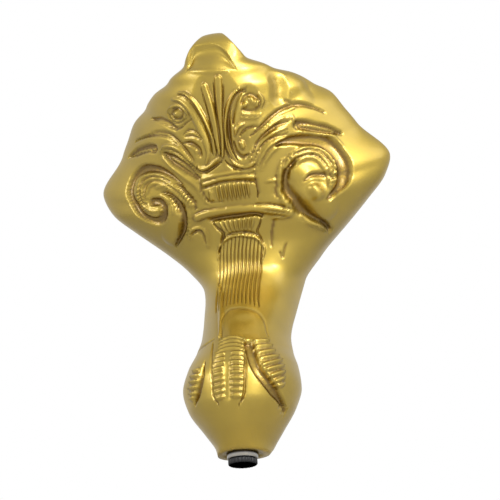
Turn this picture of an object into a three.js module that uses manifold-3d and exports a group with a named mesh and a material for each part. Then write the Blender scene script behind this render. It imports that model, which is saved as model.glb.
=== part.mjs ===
// Claw and ball foot of a bathtub: one casting with a screwed leveller under the ball.
// Millimetres, +Z up, the carved face looks along -Y. The origin is on the floor, under the leveller.
import * as THREE from 'three';
import { mergeVertices } from 'three/addons/utils/BufferGeometryUtils.js';
import Module from 'manifold-3d';

const wasm = await Module();
wasm.setup();

// Driving sizes of the casting. The tables of sections and carving further down are drawn for the
// three main sizes given here, and are stretched when a main size changes.
const DRAWN_TOP = 203;
const DRAWN_HALF_SPAN = 72;
const DRAWN_DEPTH = 78;
const HOOD_TOP = 203; // main size: height of the hood's tip on the front line
const WING_HALF_SPAN = 72; // main size: from the middle to the tip of a wing
const FOOT_DEPTH = 78; // main size: from the hood's front to the back of the rim
const BASE_HEIGHT = 5; // underside of the casting above the floor
const SHIELD_WALL = 6.5; // wall of the hollow shield at its middle
const RIM_EDGE = 4.5; // thickness of the rounded rim
const heightScale = HOOD_TOP / DRAWN_TOP;
const widthScale = WING_HALF_SPAN / DRAWN_HALF_SPAN;
const depthScale = FOOT_DEPTH / DRAWN_DEPTH;

// Driving sizes of the leveller
const STUD_RADIUS = 4;
const STUD_TOP = 32;
const STUD_CHAMFER = 0.8;
const STUD_HEAD_RADIUS = 5.2;
const STUD_HEAD_HEIGHT = 1.4;
const CUP_RADIUS = 6.8;
const CUP_WALL = 1.1;
const CUP_TOP_WALL = 1;
const CUP_EDGE = 0.4;
const PAD_RADIUS = 6.4;
const PAD_RIB_DEPTH = 0.35;
const PAD_RIBS = 24;
const PAD_SIDE_HEIGHT = 2.3;
const PAD_PLUG_RISE = 0.7;
const PAD_CHAMFER = 0.3;
const GAP = 0.32; // clearance between pieces
const BORE_SPARE = 4; // free bore above the stud
const CUP_SPARE = 2.3; // free recess above the cup

// Driving sizes of the shelf inside the shield that the tub's stud goes through. Its depths are
// counted from the shield's inner face at the shelf's top.
const SHELF_TOP = 123;
const SHELF_THICKNESS = 5;
const SHELF_ROOT = 1.2; // how far it goes into the shield's wall
const SHELF_FLARE = 4.2; // how far behind its root it has its full width
const SHELF_DEPTH = 22;
const SHELF_ROOT_HALF_WIDTH = 5;
const SHELF_HALF_WIDTH = 19;
const SLOT_WIDTH = 9;
const SLOT_DEPTH = 11; // to the centre of the slot's round end

// Levels worked out from the sizes above
const padPlugTop = PAD_SIDE_HEIGHT + PAD_PLUG_RISE;
const cupBottom = PAD_SIDE_HEIGHT + GAP;
const headBottom = padPlugTop + GAP;
const headTop = headBottom + STUD_HEAD_HEIGHT;
const cupInnerTop = headTop + GAP;
const cupTop = cupInnerTop + CUP_TOP_WALL;
const recessRadius = CUP_RADIUS + GAP;
const recessTop = cupTop + CUP_SPARE;
const boreRadius = STUD_RADIUS + GAP;
const boreTop = STUD_TOP + BORE_SPARE;

// Stations up the front line of the casting. height and front place the front point, tilt leans
// the cross-section back and up, width is its half width, depth runs from the front to the rim,
// back from the rim to the solid back, full is the curve's fullness, hollow is 0 for a solid
// section and 1 for an open shell of the given wall and edge.
const STATION_KEYS = ['height', 'front', 'tilt', 'width', 'depth', 'back', 'full', 'hollow', 'wall', 'edge'];
const DRAWN_STATIONS = [
  [5, -9.5, 0, 11.5, 12.5, 9, 2, 0, 6, 4],
  [9, -12.5, 0, 13, 19, 11.5, 2, 0, 6, 4],
  [16, -17.5, 0, 17.5, 22.5, 18, 2, 0, 6, 4],
  [26, -21.5, 0, 24, 25, 23.5, 2, 0, 6, 4],
  [35, -22, 0, 26.5, 27, 25, 2, 0, 6, 4],
  [44, -19, 1, 25, 27.5, 23, 2, 0, 6, 4],
  [52, -14, 4, 22, 27.5, 19, 2, 0, 6, 4],
  [60, -8.5, 7, 20.5, 27.5, 15, 2, 0, 6, 4],
  [74, 2, 12, 22, 29.5, 10, 2, 0.6, 6, 4],
  [88, 11, 18, 24.5, 32.5, 8, 2, 1, 6, 4],
  [98, 15, 24, 33, 32.5, 8, 2, 1, 6, RIM_EDGE],
  [107, 14, 29, 45, 32.5, 8, 1.9, 1, SHIELD_WALL, RIM_EDGE],
  [115, 9.5, 35, 58.5, 32.5, 8, 1.9, 1, SHIELD_WALL, RIM_EDGE],
  [121.5, 4.5, 39, 68.5, 34, 8, 1.9, 1, SHIELD_WALL, RIM_EDGE],
  [127, -0.5, 41, 72, 36, 8, 1.6, 1, SHIELD_WALL, RIM_EDGE],
  [138, -10, 46, 57.5, 38, 8, 1.5, 1, SHIELD_WALL, RIM_EDGE],
  [149, -18, 48, 50, 38, 8, 1.5, 1, SHIELD_WALL, RIM_EDGE],
  [161, -25, 45, 38.5, 29.5, 8, 1.5, 1, SHIELD_WALL, RIM_EDGE],
  [172, -29.5, 38, 29, 18.5, 8, 1.6, 1, 6, RIM_EDGE],
  [182, -31.5, 29, 16.5, 9, 6, 1.8, 0.7, 5.5, 3.5],
  [192, -31, 17, 10, 1.5, 5.5, 2, 0, 5, 2],
  [199, -28, 8, 5, 1, 5, 2, 0, 4, 1.5],
  [203, -20.5, -22, 1.5, 1, 3, 2, 0, 1, 1],
];

// Distances up the front line to each of the given sections
function distancesUp(sections) {
  const distances = [0];
  for (let i = 1; i < sections.length; i += 1) {
    const rise = sections[i][0] - sections[i - 1][0];
    const run = sections[i][1] - sections[i - 1][1];
    distances.push(distances[i - 1] + Math.hypot(rise, run));
  }
  return distances;
}

// The sections at the chosen main sizes. The lowest one stays at the base's height.
const STATIONS = DRAWN_STATIONS.map(([height, front, tilt, width, depth, back, ...rest], i) => [
  i === 0 ? BASE_HEIGHT : height * heightScale,
  front * depthScale,
  tilt,
  width * widthScale,
  depth * depthScale,
  back * depthScale,
  ...rest,
]);
const climb = distancesUp(STATIONS);
const topDistance = climb[climb.length - 1];
const lineScale = topDistance / distancesUp(DRAWN_STATIONS).pop();

// Scallops of the upper rim: distance up the front line, depth and half length of each notch
const SCALLOPS = [
  [157, -0.02, 5],
  [176, 0.04, 4.5],
  [195, 0.09, 4],
  [205, 0.07, 3],
];

// Ribs that share the middle columns of the mesh: column flutes, capital ribs and vase dentils.
// Each zone runs between two distances up the front line.
const RIB_PITCH = 2.3;
const RIB_COUNT = 9;
const RIB_ZONES = [
  { from: 80, to: 119, depth: 0.9 },
  { from: 124.5, to: 130.5, depth: 0.9 },
  { from: 140, to: 148, depth: 1.1 },
];

// Knuckle ridges across the three toes: zone up the front line, zone across (share of the half
// section), and how far the row of knuckles climbs as it goes outwards.
const TOE_START = 22;
const TOE_END = 58;
const TOE_ROWS = 27;
const KNUCKLE_PITCH = (2 * (TOE_END - TOE_START)) / TOE_ROWS; // a ridge on every second row
const KNUCKLE_HEIGHT = 0.8;
const TOES = [
  { from: 24, to: 57, left: -0.17, right: 0.19, slope: 0 },
  { from: 30, to: 56, left: 0.34, right: 0.66, slope: 16 },
  { from: 28, to: 50, left: -0.66, right: -0.38, slope: -16 },
];

// Carving strokes. Each has a kind, half width, height, which ends taper, and its points: per cent of
// the half section from the front line (left is negative), and distance up the front line. A channel
// is a groove with a flat floor, a band is a ridge with a flat top, and hollow and swell are broad
// forms that the others are added to.
const STROKES = {
  leftVoluteChannel: ['channel', 2.8, 2.1, 'start', [[-20, 138], [-26, 144], [-35, 151], [-46, 155],
    [-57, 154], [-64, 151], [-61, 146], [-57, 141], [-51, 137], [-46, 134], [-41, 133], [-36, 135],
    [-36, 138], [-40, 141], [-44, 141]]],
  leftInnerChannel: ['channel', 2.3, 2.1, 'both', [[-40, 146], [-34, 143], [-30, 140], [-26, 134],
    [-28, 130], [-35, 125], [-47, 120]]],
  leftRope: ['ridge', 1.8, 1.3, 'none', [[-21, 139], [-27, 146], [-36, 150], [-46, 152], [-53, 152],
    [-57, 150], [-55, 146], [-51, 142], [-47, 139], [-42, 137], [-38, 137]]],
  leftInnerRope: ['ridge', 1.6, 1, 'none', [[-25, 139], [-31, 145], [-39, 148], [-45, 149],
    [-48, 148], [-49, 146], [-47, 143]]],
  rightVoluteChannel: ['channel', 3.7, 2.6, 'both', [[40, 160], [46, 159], [52, 158], [58, 155],
    [61, 151], [59, 146], [56, 141], [52, 136], [48, 134], [44, 132]]],
  rightInnerChannel: ['groove', 3.2, 2.9, 'both', [[39, 150], [33, 147], [29, 142], [27, 137],
    [30, 131], [38, 126], [49, 122], [68, 117]]],
  rightRope: ['ridge', 1.8, 1.4, 'none', [[35, 150], [40, 152], [45, 154], [50, 153], [53, 151],
    [53, 148], [51, 143], [50, 138]]],
  rightInnerRope: ['ridge', 1.5, 1.1, 'none', [[35, 149], [40, 151], [45, 152], [49, 151],
    [50, 149], [50, 145], [49, 141], [48, 137]]],
  rightEyeArc: ['groove', 1.7, 1.4, 'both', [[37, 142], [40, 143], [44, 143], [48, 142],
    [50, 140]]],
  rightLowerRidge: ['ridge', 1.6, 1.2, 'both', [[34, 126], [42, 123], [53, 120], [68, 116],
    [83, 113]]],
  rightScroll: ['ridge', 1.7, 1, 'both', [[21, 152], [26, 157], [30, 160], [36, 162], [43, 162]]],
  leftSlit: ['channel', 2.5, 1.6, 'start', [[-78, 158], [-69, 161], [-60, 163], [-54, 163]]],
  rightSlit: ['channel', 2.8, 1.9, 'end', [[52, 165], [56, 163], [61, 161], [66, 158], [73, 155]]],
  leftLongLeaf: ['groove', 2.1, 1.4, 'both', [[-75, 164], [-63, 169], [-52, 171], [-42, 170],
    [-34, 166], [-27, 161], [-22, 156]]],
  leftLeafRidge: ['ridge', 1.7, 1.2, 'both', [[-48, 163], [-46, 165], [-40, 166], [-34, 164],
    [-27, 160], [-21, 156], [-16, 156], [-11, 158], [-6, 160]]],
  leftLeafRecess: ['channel', 3, 1.8, 'both', [[-46, 162], [-38, 160], [-30, 156], [-21, 151]]],
  leftValley: ['groove', 1.5, 1.2, 'both', [[-28, 160], [-23, 155], [-19, 154], [-14, 156],
    [-5, 158]]],
  rightLongLeaf: ['groove', 2, 1.3, 'both', [[73, 165], [66, 170], [60, 173], [51, 174], [42, 173],
    [33, 170], [24, 167]]],
  rightLeafGroove: ['groove', 1.8, 1.2, 'both', [[47, 168], [40, 168], [32, 166], [25, 162],
    [21, 158]]],
  leftSmallLeaf: ['groove', 1.8, 1.1, 'both', [[-69, 176], [-56, 176], [-46, 175], [-39, 174]]],
  leftEyeBoss: ['ridge', 2.2, 1.4, 'none', [[-43, 181], [-42, 181]]],
  rightRosette: ['ridge', 3.2, 1.6, 'none', [[34, 182], [35, 182]]],
  rightCurveRecess: ['groove', 2.4, 1.6, 'both', [[45, 188], [39, 191], [30, 191], [22, 187],
    [18, 182]]],
  rightLoopRecess: ['groove', 2, 1.2, 'both', [[12, 166], [12, 162], [16, 158], [20, 159]]],
  leftDrop: ['groove', 2, 1.3, 'start', [[-32, 168], [-26, 167], [-22, 165], [-20, 163]]],
  rightDrop: ['ridge', 2.2, 1.6, 'none', [[18, 165], [18, 163]]],
  rightCrescent: ['ridge', 1.5, 1, 'both', [[14, 170], [18, 172], [24, 173]]],
  leftCurve: ['ridge', 1.6, 1.2, 'both', [[-47, 192], [-36, 191], [-26, 187], [-19, 182],
    [-14, 176], [-10, 169], [-9, 162]]],
  leftCurveBand: ['ridge', 1.9, 1, 'both', [[-51, 188], [-40, 188], [-30, 183], [-22, 177],
    [-17, 170], [-14, 163], [-17, 158]]],
  stemLeft: ['ridge', 1.6, 1.4, 'end', [[-16, 194], [-11, 188], [-8, 179], [-6, 171], [-6, 162]]],
  stemRight: ['ridge', 1.6, 1.4, 'end', [[10, 196], [8, 189], [5, 180], [2, 171], [-3, 160]]],
  rightCurve: ['ridge', 1.6, 1.3, 'both', [[31, 190], [22, 188], [16, 184], [11, 179], [7, 172],
    [6, 165], [7, 160]]],
  vaseBand: ['ridge', 1.8, 1.1, 'none', [[-18, 148], [-6, 150], [10, 150], [18, 148]]],
  abacus: ['band', 2.2, 1.5, 'none', [[-19, 133], [-13, 134], [-6, 135], [4, 134], [13, 133],
    [21, 131], [27, 129]]],
  underAbacus: ['groove', 1.6, 1.6, 'none', [[-12, 131], [-6, 132], [2, 132], [9, 131], [13, 130]]],
  leftPetal: ['ridge', 1.5, 1, 'both', [[-31, 123], [-26, 127], [-21, 128], [-19, 127], [-20, 123],
    [-23, 119]]],
  rightClawGroove: ['channel', 2.8, 2.6, 'end', [[24, 51], [27, 42], [32, 35], [40, 30], [52, 26],
    [65, 23], [84, 19]]],
  leftClawGroove: ['groove', 2.3, 2.4, 'both', [[-30, 42], [-32, 34], [-39, 28], [-52, 24]]],
  toeLeftEdge: ['groove', 1.3, 1, 'both', [[-27, 55], [-21, 43], [-18, 32], [-19, 25], [-14, 20]]],
  toeRightEdge: ['groove', 1.3, 1, 'both', [[20, 51], [19, 40], [18, 30], [17, 23], [12, 20]]],
  palmetteField: ['hollow', 12, 2, 'none', [[6, 160], [4, 168], [3, 179], [0, 189]]],
  rightPetal: ['swell', 7.5, 1.8, 'none', [[39, 146], [36, 138], [39, 131], [48, 127]]],
  rightEyeBoss: ['swell', 3.4, 1.8, 'none', [[38, 139], [39, 137]]],
  leftPetalSwell: ['swell', 5.5, 1.2, 'none', [[-36, 140], [-32, 136], [-34, 130], [-44, 124]]],
  hoodLip: ['groove', 4.2, 2.2, 'none', [[-39, 207], [-32, 210], [-12, 211], [11, 209], [28, 206],
    [31, 202]]],
  hoodScoop: ['hollow', 7, 1.2, 'none', [[-26, 207], [4, 207], [26, 203]]],
  hoodStep: ['ridge', 1.6, 0.8, 'both', [[-54, 203], [-23, 201], [4, 201], [26, 200], [43, 199]]],
  lobeValley: ['hollow', 4.5, 1.3, 'none', [[60, 187], [53, 180]]],
  leftLobe: ['swell', 3.5, 1, 'none', [[55, 192], [48, 185]]],
  rightLobe: ['swell', 6, 1, 'none', [[70, 183], [66, 178]]],
  bulb: ['swell', 6.5, 0.9, 'none', [[-9, 117], [0, 117], [10, 115]]],
  toeCap: ['hollow', 7, 0.7, 'none', [[12, 66], [18, 59]]],
  neckLeftEdge: ['ridge', 1.9, 0.8, 'both', [[-32, 99], [-28, 87], [-22, 72], [-18, 56]]],
};

// Mesh fineness
const SIDE_COLUMNS = 14; // front columns between the ribbed middle and the rim, each side
const RIM_COLUMNS = 2;
const BACK_COLUMNS = 11;
const MIDDLE_SHARE = 0.42; // the ribbed middle never takes more of a narrow section than this
const SHIELD_START = 80; // where the neck ends and the flutes start
const VASE_TOP = 150;
const HOOD_START = 215;
const ROW_RUNS = [
  { to: TOE_START, rows: 5 },
  { to: TOE_END, rows: TOE_ROWS },
  { to: SHIELD_START, rows: 4 },
  { to: VASE_TOP, rows: 25 },
  { to: HOOD_START, rows: 22 },
  { to: topDistance / lineScale, rows: 5 },
];

// Monotone cubic curve through (xs, ys), so that no station is overshot
function monotone(xs, ys) {
  const steps = xs.slice(1).map((x, i) => x - xs[i]);
  const slopes = steps.map((h, i) => (ys[i + 1] - ys[i]) / h);
  const tangents = ys.map((_, i) => {
    if (i === 0) return slopes[0];
    if (i === ys.length - 1) return slopes[i - 1];
    if (slopes[i - 1] * slopes[i] <= 0) return 0;
    const before = 2 * steps[i] + steps[i - 1];
    const after = steps[i] + 2 * steps[i - 1];
    return (before + after) / (before / slopes[i - 1] + after / slopes[i]);
  });
  return (x) => {
    let i = 0;
    while (i < xs.length - 2 && x > xs[i + 1]) i += 1;
    const h = steps[i];
    const t = (x - xs[i]) / h;
    const a = (2 * t - 3) * t * t + 1;
    const b = ((t - 2) * t + 1) * t * h;
    const c = (3 - 2 * t) * t * t;
    const d = (t - 1) * t * t * h;
    return a * ys[i] + b * tangents[i] + c * ys[i + 1] + d * tangents[i + 1];
  };
}

// One curve up the front line for each key of the sections
const stationCurves = STATION_KEYS.map((_, k) => monotone(climb, STATIONS.map((row) => row[k])));

function sectionAt(v) {
  const section = {};
  STATION_KEYS.forEach((key, k) => {
    section[key] = stationCurves[k](v);
  });
  for (const [centre, depth, half] of SCALLOPS) {
    section.width *= 1 - depth * Math.exp(-(((v / lineScale - centre) / half) ** 2));
  }
  return section;
}

// A point of a section from its distance across (x) and its depth behind the front point (h)
function inSection(section, x, h) {
  const tilt = THREE.MathUtils.degToRad(section.tilt);
  return new THREE.Vector3(x, section.front + h * Math.cos(tilt), section.height + h * Math.sin(tilt));
}

// Front surface: u runs from -1 at the left rim through 0 at the front line to 1 at the right rim
function frontPoint(section, u) {
  const angle = Math.min(Math.abs(u), 1) * (Math.PI / 2);
  const power = 2 / section.full;
  const x = Math.sign(u) * section.width * Math.sin(angle) ** power;
  const h = section.depth * (1 - Math.cos(angle) ** power);
  return inSection(section, x, h);
}

// Columns of the front: the middle ones stand at the ribs, the others spread out to the rim
function frontColumns(section) {
  const middle = RIB_COUNT * RIB_PITCH * 0.5;
  const reach = Math.min(middle, MIDDLE_SHARE * section.width);
  const half = [];
  for (let k = 1; k <= RIB_COUNT; k += 1) {
    const share = (reach * k) / (RIB_COUNT * section.width);
    half.push(Math.asin(share ** (section.full / 2)) / (Math.PI / 2));
  }
  const start = half[half.length - 1];
  for (let k = 1; k <= SIDE_COLUMNS; k += 1) {
    half.push(start + ((1 - start) * k) / SIDE_COLUMNS);
  }
  return [...half.slice().reverse().map((u) => -u), 0, ...half];
}

// Angles of the loop's points behind the front, from the right rim round to the left one
const REAR_COUNT = BACK_COLUMNS + 2 * RIM_COLUMNS;
const rearAngles = [];
for (let i = 1; i <= REAR_COUNT; i += 1) {
  rearAngles.push(Math.PI / 2 - (Math.PI * i) / (REAR_COUNT + 1));
}

function signedPower(value, power) {
  return Math.sign(value) * Math.abs(value) ** power;
}

function solidRear(section) {
  const power = 2 / section.full;
  return rearAngles.map((angle) => {
    const x = section.width * signedPower(Math.sin(angle), power);
    return [x, section.depth + section.back * Math.cos(angle) ** power];
  });
}

function shellRear(section) {
  const power = 2 / section.full;
  const radius = section.edge / 2;
  const right = [];
  for (let i = 1; i <= RIM_COLUMNS; i += 1) {
    const angle = (Math.PI * i) / (RIM_COLUMNS + 1);
    right.push([section.width - radius + radius * Math.cos(angle), section.depth + radius * Math.sin(angle)]);
  }
  const back = [];
  for (let i = 0; i < BACK_COLUMNS; i += 1) {
    const angle = Math.PI / 2 - (Math.PI * i) / (BACK_COLUMNS - 1);
    const x = (section.width - section.edge) * signedPower(Math.sin(angle), power);
    const depth = section.depth - (section.depth - section.wall) * Math.max(Math.cos(angle), 0) ** power;
    back.push([x, depth]);
  }
  const left = right.slice().reverse().map(([x, h]) => [-x, h]);
  return [...right, ...back, ...left];
}

function rearPoints(section) {
  const solid = solidRear(section);
  const shell = shellRear(section);
  return solid.map(([x, h], i) => {
    const mixedX = THREE.MathUtils.lerp(x, shell[i][0], section.hollow);
    const mixedH = THREE.MathUtils.lerp(h, shell[i][1], section.hollow);
    return inSection(section, mixedX, mixedH);
  });
}

// Each stroke as a row of points on the front surface
const STROKE_SAMPLES = 4; // samples between two given points
const strokes = Object.values(STROKES).map(([kind, halfWidth, height, taper, points]) => {
  const curve = new THREE.CatmullRomCurve3(points.map(([u, v]) => new THREE.Vector3(u, v, 0)));
  const samples = curve.getPoints(STROKE_SAMPLES * (points.length - 1));
  const line = samples.map(({ x, y }) => {
    return frontPoint(sectionAt(Math.min(y * lineScale, topDistance)), x / 100);
  });
  return { kind, halfWidth, height, taper, line };
});

function taperAt(taper, t) {
  const start = Math.min(1, t / 0.3);
  const end = Math.min(1, (1 - t) / 0.3);
  if (taper === 'start') return 0.3 + 0.7 * start;
  if (taper === 'end') return 0.3 + 0.7 * end;
  if (taper === 'both') return 0.3 + 0.7 * Math.min(start, end);
  return 1;
}

// Nearest distance from a point to a stroke, and how far along the stroke that is
const nearest = new THREE.Vector3();
function distanceTo(line, point) {
  let best = Infinity;
  let along = 0;
  for (let i = 1; i < line.length; i += 1) {
    const segment = new THREE.Line3(line[i - 1], line[i]);
    const t = segment.closestPointToPointParameter(point, true);
    segment.at(t, nearest);
    const distance = nearest.distanceTo(point);
    if (distance < best) {
      best = distance;
      along = (i - 1 + t) / (line.length - 1);
    }
  }
  return [best, along];
}

// Height of the carving at a point of the front: the broad forms together, plus the highest ridge
// there, less the deepest groove
function strokeRelief(point) {
  let broad = 0;
  let ridge = 0;
  let groove = 0;
  for (const { kind, halfWidth, height, taper, line } of strokes) {
    const [distance, along] = distanceTo(line, point);
    const reach = halfWidth * taperAt(taper, along);
    const flat = kind === 'channel' || kind === 'band';
    const inside = 1 - (distance / reach) ** (flat ? 4 : 2);
    if (inside <= 0) continue;
    const rise = height * inside ** (flat ? 1 : 1.5);
    if (kind === 'swell') broad += rise;
    else if (kind === 'hollow') broad -= rise;
    else if (kind === 'ridge' || kind === 'band') ridge = Math.max(ridge, rise);
    else groove = Math.max(groove, rise);
  }
  return broad + ridge - groove;
}

function ribRelief(v, column) {
  const zone = RIB_ZONES.find(({ from, to }) => v > from * lineScale && v < to * lineScale);
  const outside = Math.abs(column) > RIB_COUNT || column % 2 === 0;
  return zone && !outside ? -zone.depth : 0;
}

function knuckleRelief(u, v) {
  const drawn = v / lineScale;
  const toe = TOES.find(({ from, to, left, right, slope }) => {
    const level = drawn - slope * (u - left);
    return u > left && u < right && level > from && level < to;
  });
  if (!toe) return 0;
  const level = drawn - toe.slope * (u - toe.left);
  return KNUCKLE_HEIGHT * Math.cos((2 * Math.PI * (level - TOE_START)) / KNUCKLE_PITCH);
}

// Rows of the casting: distances up the front line
const rowDistances = [0];
for (const { to, rows } of ROW_RUNS) {
  const from = rowDistances[rowDistances.length - 1];
  const end = to * lineScale;
  for (let i = 1; i <= rows; i += 1) {
    rowDistances.push(from + ((end - from) * i) / rows);
  }
}

// Points of every row before carving, then the carving along the surface's own normals
const rows = rowDistances.map((v) => {
  const section = sectionAt(v);
  const columns = frontColumns(section);
  return { v, columns, points: [...columns.map((u) => frontPoint(section, u)), ...rearPoints(section)] };
});

const EDGE_FADE = 0.06; // the carving dies out over this share of the half section at the rim
function carvedRow(row, i) {
  const below = rows[Math.max(i - 1, 0)].points;
  const above = rows[Math.min(i + 1, rows.length - 1)].points;
  const last = row.columns.length - 1;
  return row.points.map((point, j) => {
    if (j <= 0 || j >= last || i === 0 || i === rows.length - 1) return point.clone();
    const across = row.points[j + 1].clone().sub(row.points[j - 1]);
    const up = above[j].clone().sub(below[j]);
    const normal = across.cross(up).normalize();
    const u = row.columns[j];
    const column = j - last / 2;
    const fade = Math.min(1, (1 - Math.abs(u)) / EDGE_FADE);
    const relief = strokeRelief(point) + ribRelief(row.v, column) + knuckleRelief(u, row.v);
    return point.clone().addScaledVector(normal, relief * fade);
  });
}

// A round loop for the bore and the cup's recess, with a point for each point of the base row
function roundLoop(radius, height) {
  const front = rows[0].columns.map((u) => {
    const angle = u * (Math.PI / 2);
    return new THREE.Vector3(radius * Math.sin(angle), -radius * Math.cos(angle), height);
  });
  const rear = rearAngles.map((angle) => {
    return new THREE.Vector3(radius * Math.sin(angle), radius * Math.cos(angle), height);
  });
  return [...front, ...rear];
}

// A closed skin over a stack of loops, each end closed by a fan
function skin(loops) {
  const count = loops[0].length;
  const positions = [];
  const indices = [];
  for (const loop of loops) {
    for (const { x, y, z } of loop) positions.push(x, y, z);
  }
  for (let i = 0; i < loops.length - 1; i += 1) {
    for (let j = 0; j < count; j += 1) {
      const a = i * count + j;
      const b = i * count + ((j + 1) % count);
      indices.push(a, b, b + count, a, b + count, a + count);
    }
  }
  [0, loops.length - 1].forEach((i, end) => {
    const centre = new THREE.Vector3();
    for (const point of loops[i]) centre.addScaledVector(point, 1 / count);
    positions.push(centre.x, centre.y, centre.z);
    const hub = positions.length / 3 - 1;
    for (let j = 0; j < count; j += 1) {
      const a = i * count + j;
      const b = i * count + ((j + 1) % count);
      if (end === 0) indices.push(hub, b, a);
      else indices.push(hub, a, b);
    }
  });
  const geometry = new THREE.BufferGeometry();
  geometry.setAttribute('position', new THREE.Float32BufferAttribute(positions, 3));
  geometry.setIndex(indices);
  return geometry;
}

// Between a three.js geometry and a solid that can be joined or cut
function solidOf(geometry) {
  const bare = geometry.clone();
  bare.deleteAttribute('normal');
  bare.deleteAttribute('uv');
  const merged = mergeVertices(bare, 1e-5);
  const mesh = new wasm.Mesh({
    numProp: 3,
    vertProperties: Float32Array.from(merged.attributes.position.array),
    triVerts: Uint32Array.from(merged.index.array),
  });
  return new wasm.Manifold(mesh);
}

function geometryOf(solid) {
  const mesh = solid.getMesh();
  const geometry = new THREE.BufferGeometry();
  geometry.setAttribute('position', new THREE.BufferAttribute(mesh.vertProperties, 3));
  geometry.setIndex(new THREE.BufferAttribute(mesh.triVerts, 1));
  geometry.computeVertexNormals();
  return geometry;
}

// Casting: the bore and the recess for the cup first, then the ball, neck and shield
const castingLoops = [
  roundLoop(boreRadius, boreTop),
  roundLoop(boreRadius, recessTop),
  roundLoop(recessRadius, recessTop),
  roundLoop(recessRadius, BASE_HEIGHT),
  ...rows.map(carvedRow),
];
const castingBody = solidOf(skin(castingLoops));

// Shelf across the hollow: a plate with a slot open to the back, rooted in the shield's wall
const innerLine = rows.map(({ v }) => {
  const section = sectionAt(v);
  return inSection(section, 0, section.wall);
});
const innerFace = innerLine.find(({ z }) => z > SHELF_TOP);
const shelfFront = innerFace.y - SHELF_ROOT;
const shelfBack = innerFace.y + SHELF_DEPTH;
const slotCentre = innerFace.y + SLOT_DEPTH;
const shelfOutline = new THREE.Shape();
shelfOutline.moveTo(-SHELF_ROOT_HALF_WIDTH, shelfFront);
shelfOutline.lineTo(SHELF_ROOT_HALF_WIDTH, shelfFront);
shelfOutline.lineTo(SHELF_HALF_WIDTH, shelfFront + SHELF_FLARE);
shelfOutline.lineTo(SHELF_HALF_WIDTH, shelfBack);
shelfOutline.lineTo(SLOT_WIDTH / 2, shelfBack);
shelfOutline.lineTo(SLOT_WIDTH / 2, slotCentre);
shelfOutline.absarc(0, slotCentre, SLOT_WIDTH / 2, 0, -Math.PI, true);
shelfOutline.lineTo(-SLOT_WIDTH / 2, shelfBack);
shelfOutline.lineTo(-SHELF_HALF_WIDTH, shelfBack);
shelfOutline.lineTo(-SHELF_HALF_WIDTH, shelfFront + SHELF_FLARE);
const shelf = new THREE.ExtrudeGeometry(shelfOutline, {
  depth: SHELF_THICKNESS,
  bevelEnabled: false,
  curveSegments: 12,
});
shelf.translate(0, 0, SHELF_TOP - SHELF_THICKNESS);
const casting = geometryOf(castingBody.add(solidOf(shelf)));

// A turned piece from its (radius, height) outline
const TURN_SEGMENTS = 48;
function turned(outline) {
  const points = outline.map(([radius, height]) => new THREE.Vector2(radius, height));
  const geometry = new THREE.LatheGeometry(points, TURN_SEGMENTS);
  geometry.rotateX(Math.PI / 2);
  return geometryOf(solidOf(geometry));
}

// Stud: a round head held in the cup and a shank up into the casting
const stud = turned([
  [0, headBottom],
  [STUD_HEAD_RADIUS, headBottom],
  [STUD_HEAD_RADIUS, headTop],
  [STUD_RADIUS, headTop],
  [STUD_RADIUS, STUD_TOP - STUD_CHAMFER],
  [STUD_RADIUS - STUD_CHAMFER, STUD_TOP],
  [0, STUD_TOP],
]);

// Cup: a ring with a top that keeps the stud's head in
const cupInnerRadius = CUP_RADIUS - CUP_WALL;
const cup = turned([
  [cupInnerRadius, cupBottom],
  [CUP_RADIUS, cupBottom],
  [CUP_RADIUS, cupTop - CUP_EDGE],
  [CUP_RADIUS - CUP_EDGE, cupTop],
  [boreRadius, cupTop],
  [boreRadius, cupInnerTop],
  [cupInnerRadius, cupInnerTop],
  [cupInnerRadius, cupBottom],
]);

// Pad: a ribbed nylon disc with a plug that fills the cup's mouth
const padOutline = new THREE.Shape();
const RIB_STEPS = 4; // outline points for each rib
for (let i = 0; i < PAD_RIBS * RIB_STEPS; i += 1) {
  const angle = (2 * Math.PI * i) / (PAD_RIBS * RIB_STEPS);
  const radius = PAD_RADIUS - (i % RIB_STEPS < RIB_STEPS / 2 ? 0 : PAD_RIB_DEPTH);
  if (i === 0) padOutline.moveTo(radius * Math.cos(angle), radius * Math.sin(angle));
  else padOutline.lineTo(radius * Math.cos(angle), radius * Math.sin(angle));
}
const padDisc = new THREE.ExtrudeGeometry(padOutline, {
  depth: PAD_SIDE_HEIGHT - PAD_CHAMFER,
  bevelEnabled: false,
});
padDisc.translate(0, 0, PAD_CHAMFER);
const padPlugRadius = cupInnerRadius - GAP;
const padFootRadius = PAD_RADIUS - PAD_RIB_DEPTH - PAD_CHAMFER;
const padCore = turned([
  [0, 0],
  [padFootRadius, 0],
  [padPlugRadius, PAD_CHAMFER],
  [padPlugRadius, padPlugTop],
  [0, padPlugTop],
]);
const pad = geometryOf(solidOf(padDisc).add(solidOf(padCore)));

const foot = new THREE.Group();
function addPiece(name, geometry, color, roughness, metalness) {
  const material = new THREE.MeshStandardMaterial({ color, roughness, metalness });
  const mesh = new THREE.Mesh(geometry, material);
  mesh.name = name;
  foot.add(mesh);
}
addPiece('foot_casting', casting, 0xb89b3c, 0.35, 1);
addPiece('leveller_stud', stud, 0x9a9a9c, 0.35, 1);
addPiece('leveller_cup', cup, 0xc9cacc, 0.2, 1);
addPiece('leveller_pad', pad, 0x141414, 0.6, 0);

export default foot;
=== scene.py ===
import bpy
import numpy as np
from mathutils import Matrix, Vector


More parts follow.
